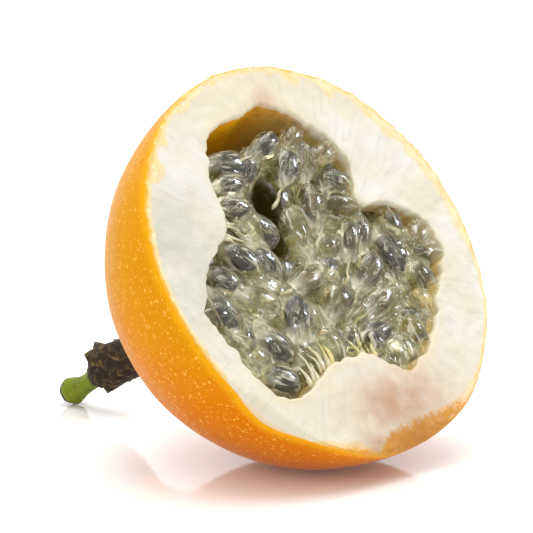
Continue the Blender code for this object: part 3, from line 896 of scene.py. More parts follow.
def build_shell(sizes, colours):
    """Rind and pith: rings from the neck's end over skin, rim and cut, then down the hollow's wall."""
    bm = bmesh.new()
    marks = "turn from_cut rind_share browned warm sallow rolled wall_depth recess"
    floats = {name: bm.verts.layers.float.new(name) for name in marks.split()}
    fibre = bm.verts.layers.float_vector.new("fibre_place")
    turn = floats["turn"]
    edges = start_ring(bm, AROUND, turn)
    handles = neck_handles()
    leans, rims, edge_angles = {}, {}, {}
    for vert in bm.verts:
        angle = vert[turn]
        leans[angle] = cut_lean(angle)
        rims[angle] = AXIS_TO_FACE @ round_point(angle, leans[angle])
        edge_angles[angle] = math.atan2(rims[angle].y, rims[angle].x)
        vert.co = AXIS @ skin_point(NECK_RADIUS * NECK_FIRST_RING, angle, -NECK_END)
        vert[floats["from_cut"]] = BODY_LENGTH / MM
    close_ring(bm, edges)

    def settle(vert, place):
        """Sets a vertex from its place in the row frame, and keeps it on the table."""
        vert.co = Vector((place.x, place.y, max(0, place.z)))

    def on_neck(vert, t):
        radius, reach = bezier(handles, 1 - t)
        settle(vert, AXIS @ skin_point(radius, vert[turn], reach))

    def on_skin(vert, t):
        bared = pared(edge_angles[vert[turn]])
        last = leans[vert[turn]] + (RIM_START + PARED_ON_SKIN * bared) / RADIUS_ACROSS
        lean = NECK_LEAVES + (last - NECK_LEAVES) * t
        settle(vert, AXIS @ round_point(vert[turn], lean))
        vert[floats["from_cut"]] = ((lean - leans[vert[turn]]) * RADIUS_ACROSS - bared) / MM

    def on_cut(vert, t):
        angle = vert[turn]
        rim, edge_angle = rims[angle], edge_angles[angle]
        lip = hollow_reach(edge_angle) + crumble(rim.xy.normalized() * hollow_reach(edge_angle))
        reach = rim.xy.length + (lip - rim.xy.length) * t
        across, up = reach * math.cos(edge_angle), reach * math.sin(edge_angle)
        from_rim, from_lip = rim.xy.length - reach, reach - lip
        place = Vector((across, up, 0))
        bared = pared(edge_angle)
        bumps = noise.noise(Vector((*rim.xy, 0)) / RIM_BUMP_GRAIN)
        out = 1 + RIM_BUMP * bumps * smooth(*RIM_BUMP_SPAN, from_rim) * smooth(*RIM_BUMP_UP, up) / reach
        level = cut_level(across, up) + PITH_RELIEF * noise.noise(place / PITH_GRAIN)
        rounding = RIM_ROUND + PARED_ON_CUT * bared
        edge_drop = RIM_ROUND * (rounding / RIM_ROUND) ** RIM_SPREAD
        level -= edge_drop * max(0, 1 - from_rim / rounding) ** RIM_CURVE
        level += EDGE_TEAR * noise.noise(place / EDGE_TEAR_GRAIN) * smooth(*EDGE_TEAR_SPAN, from_rim)
        level -= HOLLOW_LIP * (1 - math.sqrt(1 - min(1, max(0, 1 - from_lip / HOLLOW_LIP)) ** 2))
        settle(vert, face_point(across * out, up * out, level))

        rolled = math.exp(-(((across - ROLL_BAND_MIDDLE) / ROLL_BAND_WIDTH) ** 2)) * smooth(*ROLL_BAND, up)
        torn = math.exp(-(((place.xy - TORN_AT).length / TORN_SIZE) ** 2))
        stain = math.exp(-(((place.xy - STAIN_AT).length / STAIN_SIZE) ** 2))
        brown_x, brown_y = ((place.xy - SHADE_PATCH_AT)[i] / SHADE_PATCH_SIZE[i] for i in (0, 1))
        blotch = smooth(*BLOTCH_NOISE, noise.noise(place / BLOTCH_GRAIN)) * smooth(*BLOTCH_UP, up)
        sunny = smooth(*SUNNY_ACROSS, across) * smooth(*SUNNY_UP, up)
        width = sizes.rind + (sizes.rind_rolled - sizes.rind) * rolled
        width += BLOTCH_WIDTH * blotch + SUNNY_WIDTH * sunny
        vert[floats["rolled"]] = rolled
        vert[floats["rind_share"]] = from_rim / width + PARED_SHARE * bared + TORN_SHARE * torn
        # A patch of painted shade at the low right, joined with the real torn place and stain
        browned = math.exp(-(brown_x**2) - brown_y**2)
        vert[floats["browned"]] = max(browned, torn**TORN_TAN, STAIN_STRENGTH * stain)
        warm = (smooth(*WARM_TOP, up), smooth(*WARM_LIP, from_lip), smooth(*WARM_LOW, up))
        vert[floats["warm"]] = sum(strength * share for strength, share in zip(WARM_STRENGTHS, warm))
        # Greyer pith towards the left: painted shade
        sallow = smooth(*SHADE_LEFT_ACROSS, across) * smooth(*SHADE_LEFT_TOP, up) * smooth(*SHADE_LEFT_FOOT, up)
        vert[floats["sallow"]] = sallow
        vert[floats["wall_depth"]] = -smooth(0, HOLLOW_LIP, from_lip)
        around = (FIBRES_ROUND * math.cos(angle), FIBRES_ROUND * math.sin(angle))
        vert[fibre] = (*around, from_rim / FIBRE_LENGTH)

    def on_wall(vert, latitude):
        edge_angle = edge_angles[vert[turn]]
        place = hollow_wall(edge_angle, latitude)
        edge = Vector((math.cos(edge_angle), math.sin(edge_angle)))
        fade = math.cos(latitude) ** LIP_FADE
        place.xy += edge * crumble(edge * hollow_reach(edge_angle)) * fade
        drop = cut_level(place.x, place.y) * fade - HOLLOW_LIP * fade * fade
        settle(vert, face_point(place.x, place.y, place.z + drop))
        vert[floats["wall_depth"]] = -place.z / MM
        vert[floats["recess"]] = smooth(*RECESS_UP, place.y) * smooth(*RECESS_ACROSS, place.x)

    for i in range(NECK_RINGS + 1):
        edges = grow_ring(bm, edges, lambda vert: on_neck(vert, i / NECK_RINGS))
    for i in range(1, SKIN_RINGS + 1):
        edges = grow_ring(bm, edges, lambda vert: on_skin(vert, i / SKIN_RINGS))
    for i in range(FACE_RINGS + 1):
        t = i / FACE_RINGS
        edges = grow_ring(bm, edges, lambda vert: on_cut(vert, t * t * (3 - 2 * t)), 1)
    for i in range(1, WALL_RINGS + 1):
        latitude = NEARLY_POLE * (i / WALL_RINGS) ** WALL_CROWDING
        edges = grow_ring(bm, edges, lambda vert: on_wall(vert, latitude), 2)
    close_ring(bm, edges, 2)
    materials = [rind_material(sizes, colours), pith_material(colours), wall_material(colours)]
    finish_piece("rind_and_pith", bm, materials, ["shell"])


def cleft_share(across, up, margin=0.0):
    """1 in the middle of a bare place in the pulp and 0 from its edge on, and that place's depth."""
    most, depth = 0.0, 0.0
    for middle, height, half_width, half_height, turn, deep in CLEFTS:
        offset = Vector((across - middle * MM, up - height * MM))
        offset.rotate(Matrix.Rotation(-math.radians(turn), 2))
        reach = math.hypot(offset.x / (half_width * MM + margin), offset.y / (half_height * MM + margin))
        share = math.sqrt(max(0, 1 - reach * reach))
        if share > most:
            most, depth = share, deep * MM
    return most, depth


def bed_level(across, up):
    """Height of the pulp's bed in the face frame: lumps of deeper sacs, and the clefts between them."""
    place = Vector((across, up, 0))
    near = noise.voronoi(place / LUMP_GRAIN)[0][0]
    share, depth = cleft_share(across, up)
    lump = LUMP_HEIGHT * (LUMP_MIDDLE - near**2) * (1 - share)
    return -BED_DEPTH + lump + BED_WAVE * noise.noise(place / CUT_GRAIN) - share * depth


def bed_material(colours):
    """The mass of deeper juice sacs, grown: wet, glassy lumps, greyer where thick, with dark patches of
    painted shade between the sacs and dark brown painted shade in the clefts.
    """
    made, add, shader = new_material("granadilla_pulp_mass")
    place = add("TexCoord", output="Object")
    pulp = layered(
        add,
        colours.bed,
        (patches(add, place, 3 * MM, 0.35, 0.68, detail=4), colour(BED_GREEN)),
        (patches(add, place, 4.5 * MM, 0.55, 0.75, 0, 0.6), colour(BED_TAN)),
        # Dark patches: painted shade between the deeper sacs
        (patches(add, place, 2.6 * MM, 0.52, 0.38, 0, 0.9), colour(BED_GAP_SHADE)),
        (patches(add, place, 1.1 * MM, 0.56, 0.72, 0, 0.75, 4, 0.6), colours.strand),
        # The clefts: painted shade
        (add("Attribute", output="Fac", attribute_name="bare"), colours.bed_deep),
    )
    fill(shader, {
        "Base Color": pulp,
        "Roughness": 0.25,
        "Normal": relief(add, place, 1.6 * MM, 0.5 * MM, 0.8, 3),
        "Coat Weight": 0.5,
        "Coat Roughness": 0.04,
        "Subsurface Weight": 0.15,
        "Subsurface Radius": (1.0, 0.9, 0.6),
        "Subsurface Scale": 1.2 * MM,
    })
    return made


def build_bed(colours):
    """The pulp's mass under the sacs that show: a closed body that fills the hollow up to its uneven bed."""
    bm = bmesh.new()
    turn = bm.verts.layers.float.new("turn")
    bare = bm.verts.layers.float.new("bare")
    edges = start_ring(bm, BED_SIDES, turn)
    shores = {}
    for vert in bm.verts:
        angle = vert[turn]
        low, high = 0.0, SHORE_LOWEST
        for _ in range(SEARCH_STEPS):
            latitude = (low + high) / 2
            shore = hollow_wall(angle, latitude, BED_GAP)
            if shore.z > bed_level(shore.x, shore.y):
                low = latitude
            else:
                high = latitude
        shores[angle] = (latitude, shore)
        vert.co = FACE @ hollow_wall(angle, NEARLY_POLE, BED_GAP)
    close_ring(bm, edges)

    def on_wall(vert, t):
        latitude = NEARLY_POLE + (shores[vert[turn]][0] - NEARLY_POLE) * t
        vert.co = FACE @ hollow_wall(vert[turn], latitude, BED_GAP)

    def on_bed(vert, t):
        shore = shores[vert[turn]][1]
        across, up = shore.x * (1 - t), shore.y * (1 - t)
        vert.co = face_point(across, up, bed_level(across, up))
        # How far into a cleft, where its painted shade shows
        vert[bare] = smooth(*CLEFT_SHADE_SPAN, cleft_share(across, up, CLEFT_MARGIN)[0])

    for i in range(1, WALL_RINGS + 1):
        edges = grow_ring(bm, edges, lambda vert: on_wall(vert, i / WALL_RINGS))
    for i in range(1, BED_RINGS):
        edges = grow_ring(bm, edges, lambda vert: on_bed(vert, i / BED_RINGS))
    close_ring(bm, edges)
    finish_piece("pulp_mass", bm, [bed_material(colours)], ["pulp"])


def away_from_placenta(flat):
    """The heading, in radians, that leads to this place from the nearest point that the sacs hang from."""
    nearest = min((Vector(point) * MM for point in PLACENTAS), key=lambda point: (point - flat).length)
    return math.atan2(*reversed(flat - nearest))


def uneven_grid(draw, rows, pitch):
    """Places of a staggered grid over the face, each one shaken a little."""
    for row in range(-rows, rows + 1):
        for column in range(-rows, rows + 1):
            flat = Vector((column + 0.5 * (row % 2), row * FILL_STAGGER)) * pitch
            yield flat + Vector((draw.uniform(-1, 1), draw.uniform(-1, 1))) * FILL_SHAKE


def past_wall(flat):
    """Whether a sac in this place would stick out of the hollow."""
    return flat.length > hollow_reach(math.atan2(flat.y, flat.x)) - WALL_ROOM


def sac_places():
    """Each juice sac as (middle, heading, dip, length, width, seed): leading ones, then those that fill in.

    The draws come in the same order as in the part's source, so that each sac lies where its solid does.
    """
    draw = random.Random(SEED)
    looks = random.Random(LOOKS_SEED)
    places = []
    for across, up, heading, length, width, seed in LEADING_SACS:
        middle = Vector((across, up, SAC_TOP / MM - width / 2 + draw.uniform(*LEADING_LIFT))) * MM
        dip = math.radians(draw.uniform(*LEADING_DIP))
        places.append((middle, math.radians(heading), dip, length * MM, width * MM, seed))
    for flat in uneven_grid(draw, FILL_ROWS, FILL_PITCH):
        turn, dip = draw.uniform(*FILL_TURN), draw.uniform(*FILL_DIP)
        length, width = FILL_LENGTH * draw.uniform(*FILL_LONG), FILL_WIDTH * draw.uniform(*FILL_WIDE)
        level = FILL_LEVEL + draw.uniform(*FILL_LIFT) * MM
        if past_wall(flat) or cleft_share(*flat, CLEFT_ROOM)[0] > 0:
            continue
        if any((flat - middle.xy).length < FILL_NEAREST for middle, *_ in places):
            continue
        seed = looks.uniform(*SEED_SHOWS) if looks.random() < FILL_SEEDS else 0
        places.append((Vector((*flat, level)), away_from_placenta(flat) + turn, dip, length, width, seed))
    return places


def in_cleft(flat, heading, length):
    """Whether a sac's middle or one of its ends would lie over a bare place."""
    reach = Vector((math.cos(heading), math.sin(heading))) * length * END_OF_SAC
    return any(cleft_share(*place, CLEFT_ROOM)[0] > 0 for place in (flat, flat + reach, flat - reach))


def deep_sac_places():
    """The sacs that show between the others from lower down, in the same form as sac_places gives."""
    draw = random.Random(LOOKS_SEED + 4)
    places = []
    for flat in uneven_grid(draw, DEEP_ROWS, DEEP_PITCH):
        level = DEEP_LEVEL + draw.uniform(*DEEP_LIFT) * MM
        turn, dip = draw.uniform(*DEEP_TURN), draw.uniform(*DEEP_DIP)
        length, width = DEEP_LENGTH * draw.uniform(*DEEP_SIZE), DEEP_WIDTH * draw.uniform(*DEEP_SIZE)
        seed = draw.uniform(*SEED_SHOWS) if draw.random() < DEEP_SEEDS else 0
        heading = away_from_placenta(flat) + turn
        if not past_wall(flat) and not in_cleft(flat, heading, length):
            places.append((Vector((*flat, level)), heading, dip, length, width, seed))
    return places


def from_sac(flat, sac):
    """Distance over the face from this place to the line along a sac's middle."""
    middle, heading, _, length, *_ = sac
    along = Vector((math.cos(heading), math.sin(heading)))
    offset = flat - middle.xy
    reach = max(-length / 2, min(length / 2, offset.dot(along)))
    return (offset - along * reach).length


def wall_sac_places():
    """The sacs that hang from the wall itself, pointing inwards, except in the bare recess at the top."""
    draw = random.Random(LOOKS_SEED + 5)
    leading = sac_places()[: len(LEADING_SACS)]
    edge = [hollow_wall(math.tau * i / EDGE_STEPS, 0).xy for i in range(EDGE_STEPS + 1)]
    places = []
    walked = 0
    for here, after in zip(edge, edge[1:]):
        walked += (after - here).length
        if walked < WALL_PITCH:
            continue
        walked = draw.uniform(-WALL_PITCH_SHAKE, WALL_PITCH_SHAKE) * WALL_PITCH
        inward = Vector((here.y - after.y, after.x - here.x)).normalized()
        turn, dip, size = (draw.uniform(*span) for span in (WALL_SAC_TURN, WALL_SAC_DIP, WALL_SAC_SIZE))
        level = WALL_SAC_LEVEL + draw.uniform(*WALL_SAC_SHAKE) * MM
        seed = draw.uniform(*WALL_SEED_SHOWS) if draw.random() < WALL_SEEDS else 0
        flat = here + inward * WALL_SAC_INSET
        heading = math.atan2(inward.y, inward.x) + turn
        clear = WALL_CLEAR if flat.x < 0 else WALL_CLEAR_RIGHT
        if in_cleft(flat, heading, WALL_SAC_LENGTH) or any(from_sac(flat, sac) < clear for sac in leading):
            continue
        if flat.y > RECESS_FROM and flat.x < RECESS_TO:
            continue
        level += WALL_SAC_LIFT * smooth(*WALL_SAC_LIFT_SPAN, flat.x)
        length, width = WALL_SAC_LENGTH * size, WALL_SAC_WIDTH * size
        places.append((Vector((*flat, level)), heading, dip, length, width, seed))
    return places


def all_sac_places():
    """Every juice sac of the fruit."""
    return sac_places() + deep_sac_places() + wall_sac_places()


def sac_frame(middle, heading, dip):
    """The frame of one sac in the row frame, with its X along the sac."""
    return FACE @ Matrix.Translation(middle) @ Euler((0, -dip, heading)).to_matrix().to_4x4()


def ball_mesh(sides, rings):
    """A unit ball with its poles on Z, to be added to a bmesh as often as it is needed."""
    bm = bmesh.new()
    bmesh.ops.create_uvsphere(bm, u_segments=sides, v_segments=rings, radius=1)
    for face in bm.faces:
        face.smooth = True
    mesh = bpy.data.meshes.new("ball")
    bm.to_mesh(mesh)
    bm.free()
    return mesh


def add_copy(bm, mesh):
    """Adds a mesh to bm and gives its new vertices."""
    before = len(bm.verts)
    bm.from_mesh(mesh)
    bm.verts.ensure_lookup_table()
    return bm.verts[before:]


def sac_material(colours):
    """The aril round a seed, grown: a clear jelly sac in a thin skin that carries faint milky fibres.

    It bends what lies behind it, and lamps show in it as small hard lights and reach through it.
    """
    made, add, shader = new_material("granadilla_juice_sac")
    place = add("TexCoord", output="Object")
    tail, groove = (add("Attribute", output="Fac", attribute_name=name) for name in ("tail", "groove"))
    local = add("Attribute", output="Vector", attribute_name="sac_place")
    fibres = add("TexNoise", {"Vector": local, "Scale": 1.0, "Detail": 3.0, "Distortion": 0.6})
    crossing = add("Math", (add("Math", (fibres, 0.45), operation="SUBTRACT"),), operation="ABSOLUTE")
    thread = add("MapRange", (crossing, 0.003, 0.02, 0.7, 0), **EVEN)
    threads = add("Math", (thread, patches(add, place, 4 * MM, 0.42, 0.58)), operation="MULTIPLY")
    streaks = add("MapRange", (fibres, 0.52, 0.69, 0.02, 0.66), **EVEN)
    streaks = add("Math", (streaks, threads), operation="MAXIMUM")
    ends = add("Math", (tail, add("Math", (groove, 0.2), operation="MULTIPLY")), operation="MAXIMUM")
    ends = add("Math", (ends, add("MapRange", (fibres, 0.3, 0.6, 0.3, 0.9), **EVEN)), operation="MULTIPLY")
    milky = add("Math", (streaks, ends), operation="MAXIMUM")
    rough = add("Bump", {"Height": fibres, "Distance": 0.25 * MM, "Strength": 0.5})
    fill(shader, {
        "Base Color": colours.jelly,
        "Roughness": 0.08,
        "IOR": 1.26,
        "Transmission Weight": 1.0,
        "Coat Weight": 0.45,
        "Coat Roughness": 0.06,
        "Normal": rough,
    })
    skin = add("BsdfPrincipled", {
        "Base Color": colour(SAC_SKIN),
        "Roughness": 0.22,
        "Normal": rough,
        "Subsurface Weight": 0.2,
        "Subsurface Scale": 0.8 * MM,
    })
    body = add("MixShader", (milky, shader.outputs[0], skin))
    lamps = add("BsdfTransparent", {"Color": colours.jelly})
    whole = add("MixShader", (add("LightPath", output="Is Shadow Ray"), body, lamps))
    fill(made.node_tree.nodes["Material Output"], {"Surface": whole})
    return made


def fused(bm):
    """The closed bodies in bm pressed into one, with soft grooves where they meet."""
    apart = bpy.data.meshes.new("sacs_apart")
    bm.to_mesh(apart)
    bm.free()
    obj = bpy.data.objects.new("sacs_apart", apart)
    bpy.context.scene.collection.objects.link(obj)
    press = obj.modifiers.new("press", "REMESH")
    press.mode, press.voxel_size = "VOXEL", SAC_VOXEL
    pressed = obj.evaluated_get(bpy.context.evaluated_depsgraph_get()).to_mesh()
    bm = bmesh.new()
    bm.from_mesh(pressed)
    bpy.data.objects.remove(obj)
    bpy.data.meshes.remove(apart)
    for _ in range(SAC_SMOOTHING):
        axes = dict.fromkeys(("use_axis_x", "use_axis_y", "use_axis_z"), True)
        bmesh.ops.smooth_vert(bm, verts=bm.verts, factor=0.5, **axes)
    for face in bm.faces:
        face.smooth = True
    return bm


def build_sacs(colours):
    """The juice sacs that show, drawn in towards the end that holds on to the wall and pressed together."""
    bm = bmesh.new()
    ball = ball_mesh(SAC_SIDES, SAC_RINGS)
    draw = random.Random(LOOKS_SEED)
    sacs = all_sac_places()
    for number, (middle, heading, dip, length, width, _) in enumerate(sacs):
        place = sac_frame(middle, heading, dip)
        phase, ridges = draw.uniform(0, math.tau), draw.choice(SAC_RIDGES)
        bend = draw.uniform(-SAC_BEND, SAC_BEND)
        for vert in add_copy(bm, ball):
            along, turn = vert.co.z, math.atan2(vert.co.y, vert.co.x)
            swell = (1 + SAC_TAPER * along - SAC_POINT * smooth(*SAC_POINT_SPAN, along)) * width / 2
            swell *= 1 + SAC_PUCKER * math.sin(ridges * turn + phase) * smooth(*SAC_PUCKER_SPAN, along)
            inside = Vector((along * length / 2, vert.co.x * swell, vert.co.y * swell * SAC_FLATNESS))
            inside.y += bend * along * along
            shift = Vector((0, 0, number * SAC_NOISE_STEP))
            inside *= 1 + SAC_DENT / width * noise.noise(inside / SAC_DENT_GRAIN + shift)
            vert.co = place @ inside
    bpy.data.meshes.remove(ball)
    bm = fused(bm)
    local = bm.verts.layers.float_vector.new("sac_place")
    tail = bm.verts.layers.float.new("tail")
    groove = bm.verts.layers.float.new("groove")
    tree = kdtree.KDTree(len(sacs))
    frames = []
    for number, (middle, heading, dip, length, width, _) in enumerate(sacs):
        tree.insert(FACE @ middle, number)
        frames.append((sac_frame(middle, heading, dip).inverted(), length, width))
    tree.balance()
    for vert in bm.verts:
        near = []
        for _, number, _ in tree.find_n(vert.co, SAC_NEIGHBOURS):
            turned, length, width = frames[number]
            inside = turned @ vert.co
            reach = math.hypot(inside.x / length, inside.y / width, inside.z / (width * SAC_FLATNESS))
            near.append((reach, number, inside, length))
        near.sort(key=lambda found: found[0])
        reach, number, inside, length = near[0]
        shift = Vector((0, 0, number * SAC_NOISE_STEP))
        streak = (inside.x / STREAK_LONG, inside.y / STREAK_WIDE, inside.z / STREAK_WIDE)
        vert[local] = Vector(streak) + shift
        vert[tail] = smooth(*TAIL_SPAN, inside.x / (length / 2))
        vert[groove] = smooth(*GROOVE_SPAN, near[1][0] / reach)
    finish_piece("juice_sacs", bm, [sac_material(colours)])


def seed_material(colours):
    """Granadilla seed, grown: a hard slate-dark coat with a fine net of pits, wet all over."""
    made, add, shader = new_material("granadilla_seed")
    place = add("TexCoord", output="Object")
    young = add("Attribute", output="Fac", attribute_name="young")
    net = patches(add, place, 1.5 * MM, 0.4, 0.7, detail=3)
    fill(shader, {
        "Base Color": layered(add, colours.seed, (net, colour(SEED_NET)), (young, colour(SEED_YOUNG))),
        "Roughness": 0.32,
        "Specular IOR Level": 0.3,
        "Normal": relief(add, place, 0.6 * MM, 0.1 * MM, 0.6),
        "Coat Weight": 0.1,
        "Coat Roughness": 0.08,
    })
    return made


def build_seeds(sizes, colours):
    """A flat, pitted seed in each sac that has one: near the top of the sac where it shows dark."""
    bm = bmesh.new()
    young = bm.verts.layers.float.new("young")
    ball = ball_mesh(SEED_SIDES, SEED_RINGS)
    draw = random.Random(LOOKS_SEED + 1)
    seed_size = Vector((sizes.seed_length, sizes.seed_width, sizes.seed_thick))
    for number, (middle, heading, dip, length, width, seed) in enumerate(all_sac_places()):
        roll, tone = draw.uniform(-SEED_ROLL, SEED_ROLL), draw.random()
        if not seed:
            continue
        shift = Vector((0, 0, number * SEED_NOISE_STEP))
        size = min(1.0, length / SEED_FULL_SAC) * (SEED_LEAST + SEED_GAIN * seed)
        size = min(size, SEED_ROOM * width * SAC_FLATNESS / sizes.seed_width)
        ahead = Matrix.Translation((SEED_AHEAD * length, 0, SEED_LIFT * width * seed))
        place = sac_frame(middle, heading, dip) @ ahead @ Matrix.Rotation(roll * (SEED_TILT - seed), 4, "X")
        for vert in add_copy(bm, ball):
            point = Vector((vert.co.z, vert.co.x, vert.co.y)) * seed_size * (size / 2)
            point.y *= 1 - SEED_TAPER * vert.co.z
            pits = SEED_PITS * noise.noise(point / SEED_PIT_GRAIN + shift)
            vert.co = place @ (point * (1 + pits / sizes.seed_thick))
            vert[young] = smooth(*YOUNG_SPAN, seed) * tone
    bpy.data.meshes.remove(ball)
    finish_piece("seeds", bm, [seed_material(colours)])


def strand_material(colours):
    """Funicle and membrane, grown: white fibrous strands, wet and a little see-through."""
    made, add, shader = new_material("granadilla_strand")
    place = add("TexCoord", output="Object")
    shade = patches(add, place, 1.2 * MM, 0.4, 0.7, detail=3)
    fill(shader, {
        "Base Color": layered(add, colours.strand, (shade, colour(STRAND_SHADE))),
        "Roughness": 0.28,
        "Normal": relief(add, place, 0.5 * MM, 0.1 * MM, 0.5),
        "Subsurface Weight": 0.3,
        "Subsurface Scale": 1.0 * MM,
        "Coat Weight": 0.2,
        "Coat Roughness": 0.12,
    })
    return made


def drawn_sag(draw, spans):
    """How far the middle of a strand sags, each way within its own span in mm."""
    return Vector([draw.uniform(*span) for span in spans]) * MM


def add_strand(bm, turn, start, end, sag, width, taper=STRAND_TAPER, wave=STRAND_WAVE):
    """A flattened strand from start to end in the face frame, sagging sideways and thinning to its end."""
    along = end - start
    side = Vector((-along.y, along.x, 0)).normalized()
    rise = side.cross(along.normalized())

    def section(vert, t):
        wander = noise.noise_vector(start * STRAND_NOISE + Vector((0, 0, STRAND_NOISE_STEP * t))) * wave
        middle = start + along * t + (sag + wander) * math.sin(math.pi * t)
        radius = width / 2 * (1 - taper * t) * (1 if 0 < t < 1 else STRAND_TIP)
        across = side * math.cos(vert[turn]) * radius
        vert.co = FACE @ (middle + across + rise * math.sin(vert[turn]) * radius * STRAND_FLATNESS)

    made = bmesh.ops.create_circle(bm, segments=STRAND_SIDES, radius=1)["verts"]
    for vert in made:
        vert[turn] = math.atan2(vert.co.y, vert.co.x)
        section(vert, 0)
    edges = list({edge for vert in made for edge in vert.link_edges})
    close_ring(bm, edges)
    for i in range(1, STRAND_STEPS + 1):
        edges = grow_ring(bm, edges, lambda vert: section(vert, i / STRAND_STEPS))
    close_ring(bm, edges)


def build_strands(sizes, colours):
    """Strands that tie each sac's narrow end to the wall, and the bare fans where sacs have come away."""
    bm = bmesh.new()
    turn = bm.verts.layers.float.new("turn")
    draw = random.Random(LOOKS_SEED + 2)
    # The strands' noise starts from the time of day unless it is given a seed
    noise.seed_set(LOOKS_SEED)
    for middle, heading, _, length, width, _ in sac_places():
        back = Vector((-math.cos(heading), -math.sin(heading), 0))
        start = middle + back * length * STRAND_START + Vector((0, 0, STRAND_LIFT * width))
        reach = draw.uniform(*STRAND_REACH)
        end = start + back * reach - Vector((0, 0, STRAND_DROP * draw.uniform(*STRAND_DROPS)))
        sag = drawn_sag(draw, STRAND_SAG)
        wall = hollow_reach(math.atan2(end.y, end.x)) - sizes.strand
        if end.xy.length > wall:
            end.xy = end.xy.normalized() * wall
        add_strand(bm, turn, end, start, sag, sizes.strand * draw.uniform(*STRAND_WIDTHS))
    for across, up, first, last, count, length in STRAND_FANS:
        middle = math.radians((first + last) / 2)
        aside = Vector((-math.sin(middle), math.cos(middle), 0)) * FAN_STEP
        for i in range(count):
            root = Vector((across * MM, up * MM, FAN_LEVEL)) + aside * (i - (count - 1) / 2)
            heading = math.radians(first + (last - first) * i / (count - 1) + draw.uniform(*FAN_SPREAD))
            reach = length * MM * draw.uniform(*FAN_REACH)
            end = root + Vector((math.cos(heading), math.sin(heading), FAN_TIP_DROP)) * reach
            start = root + Vector((math.cos(heading), math.sin(heading), 1)) * FAN_ROOT * reach
            sag = drawn_sag(draw, FAN_SAG)
            width = sizes.strand * draw.uniform(*FAN_WIDTHS)
            add_strand(bm, turn, start, end, sag, width, FAN_TAPER, FAN_WAVE)
    finish_piece("strands", bm, [strand_material(colours)])


def calyx_material(colours):
    """Dried calyx: dead brown scales, papery and split along their veins, paler where they are worn at edges
    and tips and in patches of painted highlight.
    """
    made, add, shader = new_material("dry_calyx_scale")
    place = add("TexCoord", output="Object")
    rim = add("Attribute", output="Fac", attribute_name="rim")
    rim = add("Math", (rim, patches(add, place, 1.1 * MM, 0.35, 0.6)), operation="MULTIPLY")
    # Random paler patches: painted highlights
    patchy = patches(add, place, 1.4 * MM, 0.48, 0.75, 0, 0.55, 4, 0.6)
    worn = add("Math", (patchy, rim), operation="MAXIMUM")
    splits = patches(add, place, 0.7 * MM, 0.55, 0.7, 0, 0.7, 3)
    fill(shader, {
        "Base Color": layered(add, colours.calyx, (worn, colours.calyx_worn_and_highlight), (splits, colour(CALYX_DARK))),
        "Roughness": 0.6,
        "Specular IOR Level": 0.2,
        "Normal": relief(add, place, 0.6 * MM, 0.25 * MM, 0.8, 4),
    })
    return made


def calyx_point(reach, radius, turn):
    """A point beside the fruit's axis, in the row frame, from its reach and radius in mm."""
    return AXIS @ (Vector((radius * math.cos(turn), radius * math.sin(turn), -reach)) * MM)


def scale_outline(along):
    """Half width of a calyx scale from its root, 0, to its point, 1, as a share of its widest."""
    return (1 - along**1.7) ** 0.8 * (0.85 + 0.5 * along)


def build_calyx(colours):
    """The dried calyx: a ridged core with tiers of pointed, curling scales lapped round it."""
    bm = bmesh.new()
    rim = bm.verts.layers.float.new("rim")
    rows = [bm.verts.new((radius * MM, 0, -reach * MM)) for reach, radius in CALYX_CORE]
    edges = [bm.edges.new(pair) for pair in zip(rows, rows[1:])]
    bmesh.ops.spin(
        bm,
        geom=rows + edges,
        cent=(0, 0, 0),
        axis=(0, 0, 1),
        angle=math.tau,
        steps=CALYX_SIDES,
        use_merge=True,
    )
    bmesh.ops.subdivide_edges(bm, edges=bm.edges[:], cuts=1, use_grid_fill=True, smooth=0.5)
    bmesh.ops.holes_fill(bm, edges=[edge for edge in bm.edges if edge.is_boundary], sides=0)
    for vert in bm.verts:
        ridge = CALYX_RIDGE * math.sin(CALYX_RIDGES * math.atan2(vert.co.y, vert.co.x))
        vert.co.xy *= 1 + ridge + CALYX_CRUMPLE * noise.noise(vert.co / CALYX_GRAIN)
        vert.co = AXIS @ vert.co
    draw = random.Random(LOOKS_SEED + 3)
    for tier, (root, radius, length, flare) in enumerate(CALYX_TIERS):
        for i in range(CALYX_SCALES):
            middle = math.tau * (i + 0.5 * (tier % 2)) / CALYX_SCALES + math.pi / 2
            middle += draw.uniform(*SCALE_TURN)
            long = length * draw.uniform(*SCALE_LONG)
            curl = draw.uniform(*SCALE_CURL) * flare * (SCALE_FLARE[0] + SCALE_FLARE[1] * math.sin(middle))
            wide = SCALE_WIDTH * draw.uniform(*SCALE_WIDE)
            shift = Vector((0, 0, SCALE_NOISE_STEPS[0] * i + SCALE_NOISE_STEPS[1] * tier))
            grid = bmesh.ops.create_grid(bm, x_segments=SCALE_STEPS, y_segments=SCALE_STEPS, size=1)
            for vert in grid["verts"]:
                across, along = vert.co.x, (vert.co.y + 1) / 2
                turn = middle + across * wide / 2 * scale_outline(along)
                crumple = Vector((across * SCALE_GRAIN[0], along * SCALE_GRAIN[1], 0)) + shift
                lift = SCALE_LAP * (i % 2) - SCALE_CUP * across * across * along
                lift += curl * along**SCALE_CURL_POWER
                lift += SCALE_CRUMPLE * noise.noise(crumple) * (SCALE_STIFF_ROOT + along)
                vert[rim] = max(smooth(*SCALE_SIDE, abs(across)), smooth(*SCALE_POINT, along))
                vert.co = calyx_point(root + long * along, radius + lift, turn)
            faces = list({face for vert in grid["verts"] for face in vert.link_faces})
            bmesh.ops.solidify(bm, geom=faces, thickness=SCALE_THICK)
    for face in bm.faces:
        face.smooth = True
    finish_piece("dried_calyx", bm, [calyx_material(colours)], ["calyx"])


